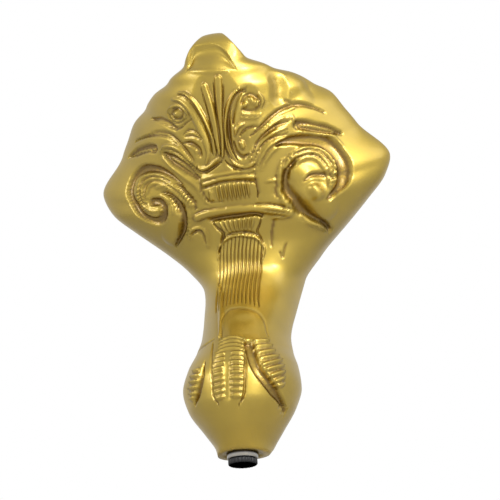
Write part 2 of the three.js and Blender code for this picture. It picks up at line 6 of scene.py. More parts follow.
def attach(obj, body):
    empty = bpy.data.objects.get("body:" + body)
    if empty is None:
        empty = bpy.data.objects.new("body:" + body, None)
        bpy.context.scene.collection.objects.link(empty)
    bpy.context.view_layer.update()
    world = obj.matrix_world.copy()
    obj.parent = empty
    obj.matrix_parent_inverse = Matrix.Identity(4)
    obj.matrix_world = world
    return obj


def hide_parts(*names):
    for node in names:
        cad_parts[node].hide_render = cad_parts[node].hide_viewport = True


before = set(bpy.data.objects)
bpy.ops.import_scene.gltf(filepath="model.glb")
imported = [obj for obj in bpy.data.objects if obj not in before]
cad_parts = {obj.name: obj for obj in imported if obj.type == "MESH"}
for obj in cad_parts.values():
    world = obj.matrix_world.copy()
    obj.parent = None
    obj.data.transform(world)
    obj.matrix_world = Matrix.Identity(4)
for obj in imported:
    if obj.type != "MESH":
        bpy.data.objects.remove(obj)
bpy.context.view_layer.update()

# Foot casting: ball, neck, carved shield and hood, cast in one piece in brass, then blasted to a
# satin and lacquered. It is hollow behind the shield, with a shelf across for the tub's stud, and
# has a threaded bore and a recess for the leveller under the ball. Sizes are in millimetres.
MM = 0.001
BASE_HEIGHT = 5.0
BALL_HEIGHT = 35.0
HOOD_TOP = 203.0

# Sections up the front line: height and place of the front point, tilt of the section in degrees,
# half width, depth from front to rim, depth from rim to the solid back, fullness of the curve,
# share of hollow, wall and edge of the hollow's shell
STATIONS = np.array([
    (BASE_HEIGHT, -9.5, 0, 11.5, 12.5, 9, 2, 0, 6, 4),
    (9, -12.5, 0, 13, 19, 11.5, 2, 0, 6, 4),
    (16, -17.5, 0, 17.5, 22.5, 18, 2, 0, 6, 4),
    (26, -21.5, 0, 24, 25, 23.5, 2, 0, 6, 4),
    (BALL_HEIGHT, -22, 0, 26.5, 27, 25, 2, 0, 6, 4),
    (44, -19, 1, 25, 27.5, 23, 2, 0, 6, 4),
    (52, -14, 4, 22, 27.5, 19, 2, 0, 6, 4),
    (60, -8.5, 7, 20.5, 27.5, 15, 2, 0, 6, 4),
    (74, 2, 12, 22, 29.5, 10, 2, 0.6, 6, 4),
    (88, 11, 18, 24.5, 32.5, 8, 2, 1, 6, 4),
    (98, 15, 24, 33, 32.5, 8, 2, 1, 6, 4.5),
    (107, 14, 29, 45, 32.5, 8, 1.9, 1, 6.5, 4.5),
    (115, 9.5, 35, 58.5, 32.5, 8, 1.9, 1, 6.5, 4.5),
    (121.5, 4.5, 39, 68.5, 34, 8, 1.9, 1, 6.5, 4.5),
    (127, -0.5, 41, 72, 36, 8, 1.6, 1, 6.5, 4.5),
    (138, -10, 46, 57.5, 38, 8, 1.5, 1, 6.5, 4.5),
    (149, -18, 48, 50, 38, 8, 1.5, 1, 6.5, 4.5),
    (161, -25, 45, 38.5, 29.5, 8, 1.5, 1, 6.5, 4.5),
    (172, -29.5, 38, 29, 18.5, 8, 1.6, 1, 6, 4.5),
    (182, -31.5, 29, 16.5, 9, 6, 1.8, 0.7, 5.5, 3.5),
    (192, -31, 17, 10, 1.5, 5.5, 2, 0, 5, 2),
    (199, -28, 8, 5, 1, 5, 2, 0, 4, 1.5),
    (HOOD_TOP, -20.5, -22, 1.5, 1, 3, 2, 0, 1, 1),
])
# Scallops of the upper rim: distance up the front line, depth and half length of each notch
SCALLOPS = [(157, -0.02, 5), (176, 0.04, 4.5), (195, 0.09, 4), (205, 0.07, 3)]


def monotone(xs, ys, x):
    """Cubic through (xs, ys) that never overshoots: the tangent at a point is the weighted
    harmonic mean of the slopes on its two sides, or 0 where they turn."""
    step = np.diff(xs)
    slope = np.diff(ys) / step
    before, after = slope[:-1], slope[1:]
    weight_1 = 2 * step[1:] + step[:-1]
    weight_2 = step[1:] + 2 * step[:-1]
    same = before * after > 0
    safe_1 = np.where(same, before, 1)
    safe_2 = np.where(same, after, 1)
    inner = np.where(same, (weight_1 + weight_2) / (weight_1 / safe_1 + weight_2 / safe_2), 0)
    tangent = np.concatenate([slope[:1], inner, slope[-1:]])
    i = np.clip(np.searchsorted(xs, x, side="right") - 1, 0, len(xs) - 2)
    h = step[i]
    t = (x - xs[i]) / h
    return (((2 * t - 3) * t * t + 1) * ys[i] + ((t - 2) * t + 1) * t * h * tangent[i]
            + (3 - 2 * t) * t * t * ys[i + 1] + (t - 1) * t * t * h * tangent[i + 1])


climb = np.concatenate([[0], np.cumsum(np.hypot(np.diff(STATIONS[:, 0]), np.diff(STATIONS[:, 1])))])
TOP = climb[-1]


def section_at(v):
    """The section's values at the distance v up the front line: each station value on its own
    monotone curve, and the width narrowed by a bell-shaped notch at each scallop."""
    height, front, tilt, width, depth, back, full, hollow, wall, edge = (
        monotone(climb, STATIONS[:, k], v) for k in range(STATIONS.shape[1]))
    for centre, notch, half in SCALLOPS:
        width = width * (1 - notch * np.exp(-((v - centre) / half) ** 2))
    return height, front, np.radians(tilt), width, depth, back, full, hollow, wall, edge


def in_section(section, x, h):
    """A point x across and h behind the front point, along the section's tilt."""
    height, front, tilt = section[:3]
    return np.stack([x, front + h * np.cos(tilt), height + h * np.sin(tilt)], axis=-1)


def front_surface(u, v):
    """Front of the casting: the angle runs with u from the front line (0) to the rim (1 or -1),
    x is the half width times sine^(2/full), depth is the section's depth times 1 - cosine^(2/full)."""
    section = section_at(v)
    width, depth, full = section[3], section[4], section[6]
    angle = np.clip(np.abs(u), 0, 1) * np.pi / 2
    x = np.sign(u) * width * np.sin(angle) ** (2 / full)
    h = depth * (1 - np.cos(angle) ** (2 / full))
    return in_section(section, x, h)


def share_across(x, v):
    """The u of a point x millimetres across at v: the inverse of the front's sine curve."""
    section = section_at(v)
    share = np.clip(np.abs(x) / section[3], 0, 1) ** (section[6] / 2)
    return np.sign(x) * np.arcsin(share) / (np.pi / 2)


# Carving: name, kind, half width, height, which ends taper, and the points of each line, as per
# cent of the half section from the front line (left is negative) and distance up the front line
LEFT_VOLUTE = [
    ("left_outer_channel", "channel", 2.3, 1.9, "start", [(-20, 137.5), (-25.5, 144), (-35, 150.5),
        (-46, 154.5), (-57, 154.5), (-63.5, 151), (-61, 146), (-56.5, 141.5), (-51.5, 137),
        (-46, 133.5), (-41, 132.5), (-36, 135), (-36.5, 138.5), (-39.5, 141), (-43.5, 141)]),
    ("left_inner_channel", "channel", 1.9, 2.0, "both", [(-40, 145.5), (-34, 143.5), (-29.5, 139.5),
        (-25.5, 134.5), (-28, 129.5), (-35, 124.5), (-46.5, 120)]),
    ("left_rope_1", "ridge", 0.85, 1.32, "none", [(-21, 138.5), (-27, 146), (-36.5, 150.5),
        (-45.5, 152.5), (-53, 152), (-57, 150), (-55, 146), (-51.5, 142), (-47, 138.5),
        (-42.5, 137), (-38, 137.5)]),
    ("left_rope_2", "ridge", 0.85, 1.32, "none", [(-22, 138), (-29, 145), (-37.5, 149),
        (-45.5, 151), (-50.5, 150.5), (-53.5, 148.5), (-51.5, 145), (-48, 141)]),
    ("left_rope_3", "ridge", 0.78, 1.08, "none", [(-24.5, 139), (-31, 144.5), (-38.5, 148),
        (-45, 149), (-48.5, 148.5), (-49, 146), (-47.5, 143)]),
    ("left_rope_4", "ridge", 0.72, 0.96, "none", [(-27, 140.5), (-32.5, 144.5), (-39.5, 147.5),
        (-44, 147.5)]),
    ("left_inner_rim", "ridge", 0.91, 0.96, "both", [(-26, 140.5), (-23, 135), (-26, 129.5),
        (-30.5, 125.5), (-37.5, 123)]),
    ("left_eye_lip", "ridge", 1.04, 1.08, "both", [(-39.5, 145), (-34.5, 143), (-31.5, 139),
        (-29, 134.5)]),
    ("left_volute_border", "ridge", 1.04, 0.72, "both", [(-61.5, 145), (-58, 140.5), (-53.5, 136.5),
        (-49, 132.5), (-44, 130.5)]),
]
RIGHT_VOLUTE = [
    ("right_outer_channel", "channel", 4.0, 2.4, "both", [(36.5, 160), (43.5, 160), (51, 158),
        (58, 155.5), (61, 151.5), (59.5, 147), (56.5, 142.5), (53.5, 137.5), (49.5, 134.5),
        (46, 132)]),
    ("right_inner_channel", "groove", 4.0, 2.7, "both", [(39.5, 150.5), (33.5, 147.5),
        (29.5, 142.5), (28, 136.5), (31, 131), (38.5, 126), (49.5, 122), (68, 117)]),
    ("right_rope_1", "ridge", 0.98, 1.44, "none", [(34, 149.5), (39.5, 152.5), (45, 153),
        (50, 152.5), (52.5, 150.5), (52, 147.5), (50.5, 143.5), (49, 139)]),
    ("right_rope_2", "ridge", 0.91, 1.32, "none", [(34.5, 148), (40, 150), (44.5, 151), (48, 150.5),
        (49.5, 148.5), (49, 145.5), (48, 141.5), (47, 137)]),
    ("right_rope_3", "ridge", 1.17, 1.56, "both", [(36.5, 152.5), (42, 154.5), (48, 155), (53, 154),
        (56, 151.5), (55.5, 148), (53, 143.5), (50.5, 139)]),
    ("right_eye_arc", "groove", 1.6, 1.5, "both", [(37, 142), (40.5, 143.5), (44.5, 143),
        (48, 141.5), (50, 139.5)]),
    ("right_inner_line_1", "ridge", 1.17, 1.08, "both", [(30, 139.5), (31.5, 143.5), (34.5, 147),
        (38, 149)]),
    ("right_inner_line_2", "ridge", 1.56, 1.2, "both", [(35, 153), (30, 148), (26, 142),
        (23.5, 136), (25, 130.5)]),
    ("right_lower_ridge", "ridge", 1.82, 1.56, "both", [(34, 126.5), (42, 123), (51, 120.5),
        (61.5, 117.5)]),
    ("right_scroll_line_1", "ridge", 0.91, 1.08, "both", [(21.5, 152.5), (25.5, 156.5), (30.5, 160),
        (36.5, 161.5), (43, 162)]),
    ("right_scroll_line_2", "ridge", 0.78, 0.84, "both", [(23, 151), (27.5, 155), (31.5, 157.5),
        (36.5, 159), (42, 159.5)]),
    ("right_scroll_groove", "groove", 0.78, 1.08, "both", [(21, 155.5), (25, 159.5), (30.5, 162.5),
        (37, 163.5), (44, 163)]),
]
LEAF_SLITS = [
    ("left_slit", "channel", 2.3, 1.6, "start", [(-77.5, 157.5), (-69, 160.5), (-60, 163),
        (-54, 163.5)]),
    ("left_slit_vein", "ridge", 0.65, 1.08, "both", [(-77, 157.5), (-66.5, 161), (-52.5, 163.5)]),
    ("right_slit", "channel", 2.7, 1.9, "end", [(52, 165), (56, 163.5), (60.5, 161), (66.5, 158.5),
        (73, 155)]),
    ("right_slit_vein", "ridge", 0.72, 1.2, "both", [(54, 164.5), (59, 162.5), (65, 159.5),
        (70.5, 156.5)]),
    ("right_slit_edge", "ridge", 0.91, 0.84, "both", [(51.5, 169.5), (51, 165.5), (51.5, 161)]),
    ("right_slit_lip", "ridge", 1.04, 0.72, "both", [(51, 161), (59, 158.5), (67, 155),
        (67, 150.5)]),
]
LEFT_LEAVES = [
    ("left_long_leaf", "groove", 1.9, 1.3, "both", [(-75, 164.5), (-62.5, 168.5), (-52, 170.5),
        (-42, 170), (-33.5, 166), (-27, 161), (-22, 156)]),
    ("left_long_leaf_vein", "ridge", 0.65, 1.08, "both", [(-74, 165), (-63, 169), (-52, 170.5),
        (-43, 170), (-34.5, 166), (-28, 161), (-22.5, 156.5)]),
    ("left_leaf_ridge", "ridge", 1.56, 1.2, "both", [(-48, 162.5), (-46, 165), (-40, 165.5),
        (-33.5, 164), (-27, 160), (-21.5, 156), (-16, 156), (-11, 158.5), (-6, 160.5)]),
    ("left_leaf_recess", "channel", 2.9, 1.8, "both", [(-45.5, 162), (-38, 159.5), (-29.5, 156),
        (-21.5, 151)]),
    ("left_recess_vein_1", "ridge", 0.59, 1.08, "both", [(-43, 163.5), (-34.5, 161.5), (-27, 157.5),
        (-21, 152.5)]),
    ("left_recess_vein_2", "ridge", 0.59, 1.08, "both", [(-42.5, 161), (-33, 157.5), (-25, 153)]),
    ("left_recess_border", "ridge", 1.04, 0.84, "both", [(-45.5, 160), (-38.5, 156), (-30.5, 152),
        (-22.5, 148), (-17.5, 142.5), (-14.5, 139.5), (-8, 139.5)]),
    ("valley_left", "groove", 1.17, 1.44, "both", [(-28.5, 160), (-23, 155.5), (-19, 154),
        (-13.5, 155.5), (-5, 158.5)]),
    ("left_small_leaf", "groove", 1.95, 1.32, "both", [(-69, 176), (-56, 176.5), (-45.5, 175),
        (-39.5, 173.5)]),
    ("left_small_leaf_vein", "ridge", 0.52, 0.84, "both", [(-67.5, 176), (-54.5, 176),
        (-43.5, 174.5)]),
    ("left_chevron_1", "groove", 0.65, 0.84, "both", [(-51.5, 181.5), (-47, 178), (-40, 176.5),
        (-33, 179)]),
    ("left_chevron_2", "groove", 0.65, 0.96, "both", [(-48, 177), (-38.5, 174), (-33.5, 176.5),
        (-27.5, 179)]),
]
RIGHT_LEAVES = [
    ("right_long_leaf", "groove", 1.7, 1.2, "both", [(72.5, 165), (66.5, 170), (60, 173.5),
        (51.5, 174), (41.5, 172.5), (32.5, 170), (24, 167)]),
    ("right_long_leaf_vein_1", "ridge", 0.65, 0.96, "both", [(58.5, 172.5), (49.5, 173),
        (40.5, 171.5), (31, 168.5)]),
    ("right_long_leaf_vein_2", "ridge", 0.65, 0.96, "both", [(50, 169.5), (43.5, 170), (36, 168.5),
        (30.5, 166.5)]),
    ("right_leaf_groove", "groove", 1.56, 1.32, "both", [(47.5, 168), (40, 168), (32.5, 166),
        (25, 162), (21, 158)]),
    ("right_leaf_ridge", "ridge", 1.04, 0.96, "both", [(44.5, 165.5), (37.5, 165.5), (30, 164),
        (24.5, 160.5), (19, 156.5)]),
    ("right_lobe_tip_groove", "groove", 0.91, 0.96, "both", [(57, 177.5), (60, 173.5)]),
]
EYE_AND_ROSETTE = [
    ("left_eye", "ridge", 1.7, 1.2, "none", [(-42.5, 181), (-41.5, 181)]),
    ("left_eye_ring", "groove", 0.78, 1.08, "none", [(-48, 180.5), (-46.5, 183), (-42.5, 184),
        (-38, 182.5), (-37, 180.5), (-39.5, 178.5), (-44, 178.5), (-48, 180.5)]),
    ("left_eye_lid", "ridge", 0.78, 0.84, "both", [(-52.5, 181.5), (-49.5, 184), (-42, 185),
        (-35.5, 183.5), (-32, 181), (-35.5, 178.5)]),
    ("right_rosette", "ridge", 3.2, 0.9, "none", [(33.5, 182.5), (34, 182)]),
    ("right_rosette_ring", "groove", 1.04, 0.6, "none", [(27.5, 183), (31.5, 185.5), (37, 186),
        (40, 183.5), (39.5, 180.5), (35, 178), (30, 178.5), (26.5, 180)]),
    ("right_rosette_lump_1", "ridge", 1.6, 1.6, "none", [(29, 181.5), (30, 182)]),
    ("right_rosette_lump_2", "ridge", 1.95, 1.8, "none", [(35, 183.5), (35, 182)]),
    ("right_rosette_lump_3", "ridge", 1.43, 1.44, "none", [(38.5, 181.5), (37, 180)]),
    ("right_rosette_rim", "ridge", 1.17, 1.32, "both", [(42.5, 185.5), (42, 181.5), (39, 178.5)]),
]
DROPS = [
    ("left_crescent_top", "groove", 0.65, 1.08, "both", [(-33, 171), (-30, 173.5), (-24, 173),
        (-17.5, 169.5)]),
    ("left_crescent_low", "groove", 0.65, 0.96, "both", [(-32, 170.5), (-25.5, 171), (-17.5, 169)]),
    ("right_crescent", "ridge", 1.17, 1.2, "both", [(14.5, 169.5), (18, 172.5), (24, 173.5)]),
    ("right_crescent_groove", "groove", 0.91, 1.08, "both", [(17.5, 168.5), (22, 170.5), (27, 171),
        (32, 169.5)]),
    ("left_drop", "groove", 1.7, 1.3, "start", [(-32.5, 167.5), (-26.5, 167.5), (-21.5, 165),
        (-20.5, 162.5)]),
    ("left_drop_vein", "ridge", 0.59, 0.84, "both", [(-30, 167), (-25, 165.5), (-22.5, 163)]),
    ("right_drop", "ridge", 1.8, 1.5, "none", [(17.5, 165), (17.5, 163.5)]),
    ("right_drop_lines", "ridge", 0.65, 0.84, "both", [(18, 158), (21.5, 160), (24.5, 162.5)]),
    ("right_bar_1", "ridge", 0.59, 0.72, "both", [(24, 178), (30.5, 176.5), (37, 175)]),
    ("right_bar_2", "ridge", 0.59, 0.72, "both", [(23, 176.5), (29.5, 175), (36, 174)]),
]
PALMETTE = [
    ("left_c_ridge", "ridge", 1.04, 1.8, "both", [(-47, 191.5), (-36, 191), (-26, 187.5),
        (-19, 182), (-14, 176), (-9.5, 169), (-9, 162)]),
    ("left_c_groove", "groove", 0.65, 1.08, "both", [(-50, 190), (-38.5, 190), (-29, 186.5),
        (-22, 181.5), (-16, 175), (-12.5, 168.5), (-11.5, 161.5)]),
    ("left_c_band", "ridge", 1.9, 1.0, "both", [(-51, 188.5), (-40, 187.5), (-29.5, 183),
        (-22.5, 176.5), (-16.5, 170), (-14.5, 163), (-16.5, 158)]),
    ("stem_left", "band", 1.76, 1.56, "end", [(-15.5, 194), (-11, 187.5), (-8, 179), (-6, 170.5),
        (-5.5, 162)]),
    ("stem_right", "band", 1.95, 1.44, "end", [(10.5, 196.5), (7.5, 189), (5, 180), (2, 171),
        (-3, 160.5)]),
    ("stem_groove", "groove", 1.04, 0.84, "both", [(-1, 195.5), (-1.5, 187), (-1.5, 178),
        (-2.5, 168.5), (-4, 161.5)]),
    ("stem_edge_right", "groove", 0.65, 0.72, "both", [(16, 193.5), (10.5, 184.5), (6.5, 175),
        (4.5, 166), (5, 160)]),
    ("stem_edge_left", "groove", 0.78, 0.72, "both", [(-18.5, 191.5), (-13.5, 183), (-10, 174.5),
        (-8, 166)]),
    ("right_c_ridge", "ridge", 0.98, 1.44, "both", [(30.5, 190), (22.5, 188), (16, 184),
        (11, 178.5), (7, 172), (6, 165.5), (7.5, 159.5)]),
    ("right_c_groove", "groove", 1.17, 1.44, "both", [(36.5, 189.5), (26.5, 187.5), (19, 183),
        (14, 177.5), (10.5, 170.5), (10, 163.5), (11.5, 158)]),
    ("right_c_loop", "ridge", 0.91, 1.08, "both", [(6, 159.5), (9.5, 156), (14.5, 154),
        (19.5, 154.5), (23.5, 157.5), (26.5, 161)]),
    ("right_c_recess", "groove", 2.2, 1.4, "both", [(34, 188), (29, 188), (23, 185), (18.5, 180),
        (16, 174.5)]),
    ("right_loop_recess", "groove", 1.7, 1.1, "both", [(12.5, 166.5), (12, 162), (15.5, 158.5),
        (20, 159.5)]),
    ("base_line", "groove", 0.78, 1.2, "both", [(-1, 159), (4.5, 156), (10.5, 153.5), (17.5, 152.5),
        (21, 153.5)]),
]
VASE = [
    ("vase_band_top", "ridge", 1.04, 1.08, "none", [(-19.5, 151), (-7.5, 152.5), (11.5, 152.5),
        (20.5, 152)]),
    ("vase_band_low", "ridge", 1.17, 1.08, "none", [(-18, 148.5), (-6, 150.5), (10, 150),
        (18, 148.5)]),
    ("vase_band_groove", "groove", 0.65, 1.08, "none", [(-18, 146.5), (-7, 148.5), (9, 148),
        (17, 146)]),
    ("vase_outline_left", "groove", 0.78, 1.2, "both", [(-21, 150), (-19.5, 146.5), (-16, 141.5),
        (-13.5, 139.5), (-7.5, 139.5)]),
    ("vase_outline_right", "groove", 0.65, 1.08, "both", [(21, 153), (17.5, 147), (16, 141.5),
        (14, 138.5)]),
    ("vase_curl", "ridge", 1.56, 0.96, "none", [(-13.5, 144.5), (-13, 141.5)]),
]
ABACUS = [
    ("abacus", "band", 2.0, 1.2, "none", [(-19, 133), (-13.5, 134.5), (-5.5, 135), (4, 134.5),
        (13, 133), (20.5, 131), (27, 129)]),
    ("abacus_line_1", "groove", 0.52, 0.96, "both", [(10, 136), (16.5, 135), (22.5, 132.5),
        (27, 130.5)]),
    ("abacus_line_2", "groove", 0.52, 0.84, "both", [(13, 133), (20, 131), (27, 129)]),
    ("abacus_upper_left", "groove", 0.65, 0.96, "both", [(-21.5, 132.5), (-18, 135.5), (-12, 136.5),
        (-4.5, 136.5)]),
    ("under_abacus", "groove", 1.43, 1.92, "none", [(-12.5, 131), (-5.5, 131.5), (2.5, 131.5),
        (9, 131.5), (13, 130)]),
    ("right_bracket", "groove", 1.04, 1.32, "both", [(27.5, 147), (24.5, 141.5), (23, 139),
        (23, 136)]),
    ("right_bracket_bar", "ridge", 0.78, 0.84, "none", [(22.5, 145.5), (25.5, 145)]),
    ("right_panel_line", "ridge", 0.78, 0.96, "both", [(32, 149.5), (27.5, 143), (25, 136),
        (27, 130.5), (28.5, 126.5)]),
    ("right_panel_foot", "ridge", 0.78, 0.84, "both", [(18, 128.5), (23.5, 127.5), (28, 127.5)]),
    ("right_drop_slot", "groove", 1.04, 1.08, "end", [(19.5, 126.5), (20, 120.5), (22.5, 115)]),
    ("right_small_drop", "groove", 0.65, 0.72, "none", [(33, 115), (34, 112), (35.5, 109),
        (31, 111.5)]),
]
CAPITAL = [
    ("capital_left_edge", "groove", 1.04, 1.32, "both", [(-13, 131), (-11.5, 127), (-9.5, 124),
        (-12, 120.5), (-17, 115.5)]),
    ("capital_right_edge", "groove", 0.78, 0.96, "both", [(13, 129.5), (12, 125.5), (11, 122.5),
        (14, 119), (17, 114)]),
    ("shoulder_line", "groove", 0.78, 1.08, "both", [(-9, 122.5), (-4, 123.5), (2.5, 123.5),
        (8, 122.5), (12.5, 120.5)]),
    ("left_petal", "ridge", 1.04, 1.08, "both", [(-31.5, 122.5), (-26, 127), (-21, 128), (-19, 127),
        (-20, 123), (-22.5, 118.5)]),
    ("left_petal_groove", "groove", 1.17, 1.2, "both", [(-27, 125), (-22.5, 126.5), (-21, 124.5),
        (-22.5, 120.5)]),
    ("bulb_outline", "ridge", 0.91, 1.08, "both", [(-20.5, 112), (-16.5, 117), (-9.5, 121),
        (-4, 122.5), (1, 122.5), (6, 121.5), (11, 120), (16, 116), (18, 113), (17, 108.5)]),
    ("neck_left_edge", "ridge", 1.8, 0.8, "both", [(-32, 98.5), (-28, 87), (-22.5, 72.5),
        (-18.5, 56.5)]),
]
CLAWS = [
    ("right_claw_groove", "channel", 2.7, 2.6, "end", [(24, 50.5), (27, 41.5), (32, 35),
        (40.5, 30.5), (52, 26.5), (65, 23), (84, 19)]),
    ("left_claw_groove", "groove", 2.0, 2.4, "both", [(-30, 42), (-31.5, 34), (-39, 28),
        (-51.5, 23.5)]),
    ("left_toe_outline", "groove", 1.04, 0.84, "both", [(-27, 56.5), (-43.5, 54.5), (-70.5, 53),
        (-69.5, 44.5)]),
    ("toe_cap", "hollow", 7.0, 0.7, "none", [(12.5, 66.5), (17.5, 58.5)]),
    ("toe_cap_edge", "groove", 1.04, 0.42, "both", [(-14, 56.5), (-19.5, 68.5), (-15, 76.5),
        (-1.5, 78), (15, 76.5), (29.5, 73), (43, 65.5), (49, 56.5)]),
    ("toe_left_edge", "groove", 0.91, 0.84, "both", [(-27, 54.5), (-21, 43.5), (-18, 31.5),
        (-19, 24.5), (-14, 20.5)]),
    ("toe_right_edge", "groove", 0.91, 0.84, "both", [(19.5, 51.5), (19, 39.5), (18.5, 30),
        (17.5, 23), (12, 19.5)]),
    ("toe_centre", "hollow", 2.6, 0.6, "none", [(0.5, 37), (0, 30.5), (-2, 23.5)]),
]
RIGHT_KNUCKLES = [
    [(27, 51.5), (50, 53)], [(28, 47.5), (53.5, 50)], [(32, 43.5), (56, 47)], [(35, 40.5), (60, 44)],
    [(36.5, 37), (63, 42)], [(41, 35), (65, 39)], [(44, 32), (65.5, 36)], [(48.5, 29.5), (64.5, 33)],
    [(53, 28), (64.5, 30)]]
LEFT_KNUCKLES = [
    [(-47.5, 39), (-35, 38.5)], [(-50, 36.5), (-35, 35.5)], [(-51, 34), (-36.5, 33)],
    [(-54, 31.5), (-39, 30.5)], [(-54.5, 29), (-42.5, 28)], [(-58, 27), (-47, 26.5)]]
for toe, half, rise, lines in (("right", 1.37, 1.32, RIGHT_KNUCKLES), ("left", 1.3, 1.2, LEFT_KNUCKLES)):
    CLAWS += [(f"{toe}_knuckle_{i}", "ridge", half, rise, "both", line) for i, line in enumerate(lines, 1)]
BROAD_FORMS = [
    ("bulb", "swell", 6.5, 0.9, "none", [(-9, 116.5), (0, 117), (9.5, 115.5)]),
    ("palmette_field", "hollow", 12.0, 2.0, "none", [(6, 159.5), (4.5, 168.5), (3.5, 178.5),
        (0, 189)]),
    ("right_recess", "hollow", 6.5, 1.4, "none", [(33.5, 185), (26, 175.5), (20, 166)]),
    ("lobe_valley", "hollow", 5.5, 1.8, "none", [(65.5, 188.5), (55, 180.5)]),
    ("lobe_right", "swell", 6.5, 1.0, "none", [(76, 181), (70, 175)]),
    ("right_petal", "swell", 7.0, 1.6, "none", [(38.5, 143), (37, 136.5), (41, 131), (49, 126.5)]),
    ("right_eye_boss", "swell", 3.6, 2.2, "none", [(39, 137.5), (39.5, 135.5)]),
    ("left_eye_boss", "swell", 3.0, 1.0, "none", [(-44.5, 139.5), (-42.5, 139)]),
    ("left_petal_swell", "swell", 5.5, 1.2, "none", [(-36.5, 140), (-31.5, 135.5), (-33.5, 130),
        (-44, 124)]),
]
HOOD = [
    ("hood_step", "ridge", 1.43, 0.36, "both", [(-48.5, 202.5), (-23, 201.5), (4, 200.5),
        (26.5, 199.5)]),
]


def rib_strokes(name, pitch, places, low, high, narrow, half, rise):
    """One straight ridge up the front for each place across: from the distance low to high, with
    its lower end at narrow times its place."""
    strokes = []
    for i, x in enumerate(places):
        ends = np.array([low, high], dtype=float)
        across = share_across(np.array([x * narrow, x]) * pitch, ends) * 100
        strokes.append((f"{name}_{i}", "ridge", half, rise, "both", list(zip(across, ends))))
    return strokes


# Flutes: twelve fine grooves that look straight in the photograph, so their middle bows to the left
# where the neck bends back. They run from an arch over the toe to the arch of the bulb at the top.
FLUTE_PITCH, FLUTE_HALF, FLUTE_DEPTH = 1.85, 0.78, 0.85
FLUTE_LOW, LOW_ARCH = 82, 0.14
FLUTE_HIGH, HIGH_ARCH = 122.5, 0.17
BOW_OFFSET, BOW_GAIN, BOW_LEVEL, BOW_SPAN = -2.1, 1.5, 96, 18
flutes = []
for place in np.arange(-5.5, 6):
    rise = np.linspace(FLUTE_LOW - LOW_ARCH * place ** 2, FLUTE_HIGH - HIGH_ARCH * place ** 2, 9)
    centre = BOW_OFFSET + BOW_GAIN * ((rise - BOW_LEVEL) / BOW_SPAN) ** 2
    across = share_across(place * FLUTE_PITCH + centre, rise) * 100
    flutes.append((f"flute_{place}", "groove", FLUTE_HALF, FLUTE_DEPTH, "both", list(zip(across, rise))))

# Ribs of the capital under the abacus, which draw together downward, and dentils of the vase over it
CAPITAL_PITCH, CAPITAL_LOW, CAPITAL_HIGH, CAPITAL_NARROW = 2.4, 124.5, 130.4, 0.75
DENTIL_PITCH, DENTIL_LOW, DENTIL_HIGH = 2.07, 139.8, 147.6
capital_ribs = rib_strokes("capital_rib", CAPITAL_PITCH, np.arange(-3.5, 4), CAPITAL_LOW, CAPITAL_HIGH,
                           CAPITAL_NARROW, 0.75, 0.9)
dentils = rib_strokes("dentil", DENTIL_PITCH, np.arange(-3.04, 4), DENTIL_LOW, DENTIL_HIGH, 1.0, 0.72, 1.2)

# Knuckles of the middle toe: two columns of short ridges, the upper ones joined across
KNUCKLE_PITCH, KNUCKLE_FIRST = 2.62, 23.1
KNUCKLE_ROWS, KNUCKLE_PAIRS = 13, 9
middle_knuckles = []
for k in range(KNUCKLE_ROWS):
    level = KNUCKLE_FIRST + KNUCKLE_PITCH * k
    if k < KNUCKLE_PAIRS:
        left, right = [(-17, level), (-4, level + 0.6)], [(2, level + 0.6), (17, level)]
        middle_knuckles.append((f"left_middle_{k}", "ridge", 1.0, 0.9, "both", left))
        middle_knuckles.append((f"right_middle_{k}", "ridge", 1.0, 0.9, "both", right))
    else:
        bow = [(-17, level - 0.5), (-8, level + 0.7), (1, level + 1.2), (9, level + 0.7), (18, level - 0.5)]
        middle_knuckles.append((f"middle_{k}", "ridge", 0.95, 0.8, "both", bow))

# Beads of the ropes: short grooves across, from the outer line of a rope to its inner one
BEAD_HALF, BEAD_DEPTH = 0.55, 0.6


def rope_beads(name, outer, inner, start, end, count):
    """Cross grooves between two lines, from the share start to the share end of their points."""
    strokes = []
    for share in np.linspace(start, end, count):
        ends = []
        for line in (outer, inner):
            at = share * (len(line) - 1)
            ends.append(tuple(np.interp(at, np.arange(len(line)), axis) for axis in np.transpose(line)))
        strokes.append((f"{name}_{share:.2f}", "groove", BEAD_HALF, BEAD_DEPTH, "none", ends))
    return strokes


traces = {stroke[0]: stroke[5] for stroke in LEFT_VOLUTE + RIGHT_VOLUTE}
beads = (rope_beads("right_bead", traces["right_rope_3"], traces["right_rope_2"], 0.08, 0.92, 15)
         + rope_beads("left_bead", traces["left_rope_1"], traces["left_rope_2"], 0.0, 0.4, 9))

STROKES = (LEFT_VOLUTE + RIGHT_VOLUTE + LEAF_SLITS + LEFT_LEAVES + RIGHT_LEAVES + EYE_AND_ROSETTE
           + DROPS + PALMETTE + VASE + ABACUS + CAPITAL + CLAWS + HOOD + BROAD_FORMS + flutes
           + capital_ribs + dentils + middle_knuckles + beads)


def smooth_line(points, samples=8):
    """Smooth curve through the points: on each span the cubic whose end slopes are half the
    difference of the neighbours, with the line carried on straight by one point at each end."""
    p = np.array(points, dtype=float)
    if len(p) == 2:
        t = np.linspace(0, 1, samples + 1)[:, None]
        return p[0] * (1 - t) + p[1] * t
    q = np.concatenate([2 * p[:1] - p[1:2], p, 2 * p[-1:] - p[-2:-1]])
    t = np.linspace(0, 1, samples, endpoint=False)[None, :, None]
    a, b, c, d = (q[i:len(q) - 3 + i, None, :] for i in range(4))
    curve = 0.5 * (2 * b + (c - a) * t + (2 * a - 5 * b + 4 * c - d) * t ** 2
                   + (3 * b - a - 3 * c + d) * t ** 3)
    return np.concatenate([curve.reshape(-1, p.shape[1]), p[-1:]])


TAPER = 0.3


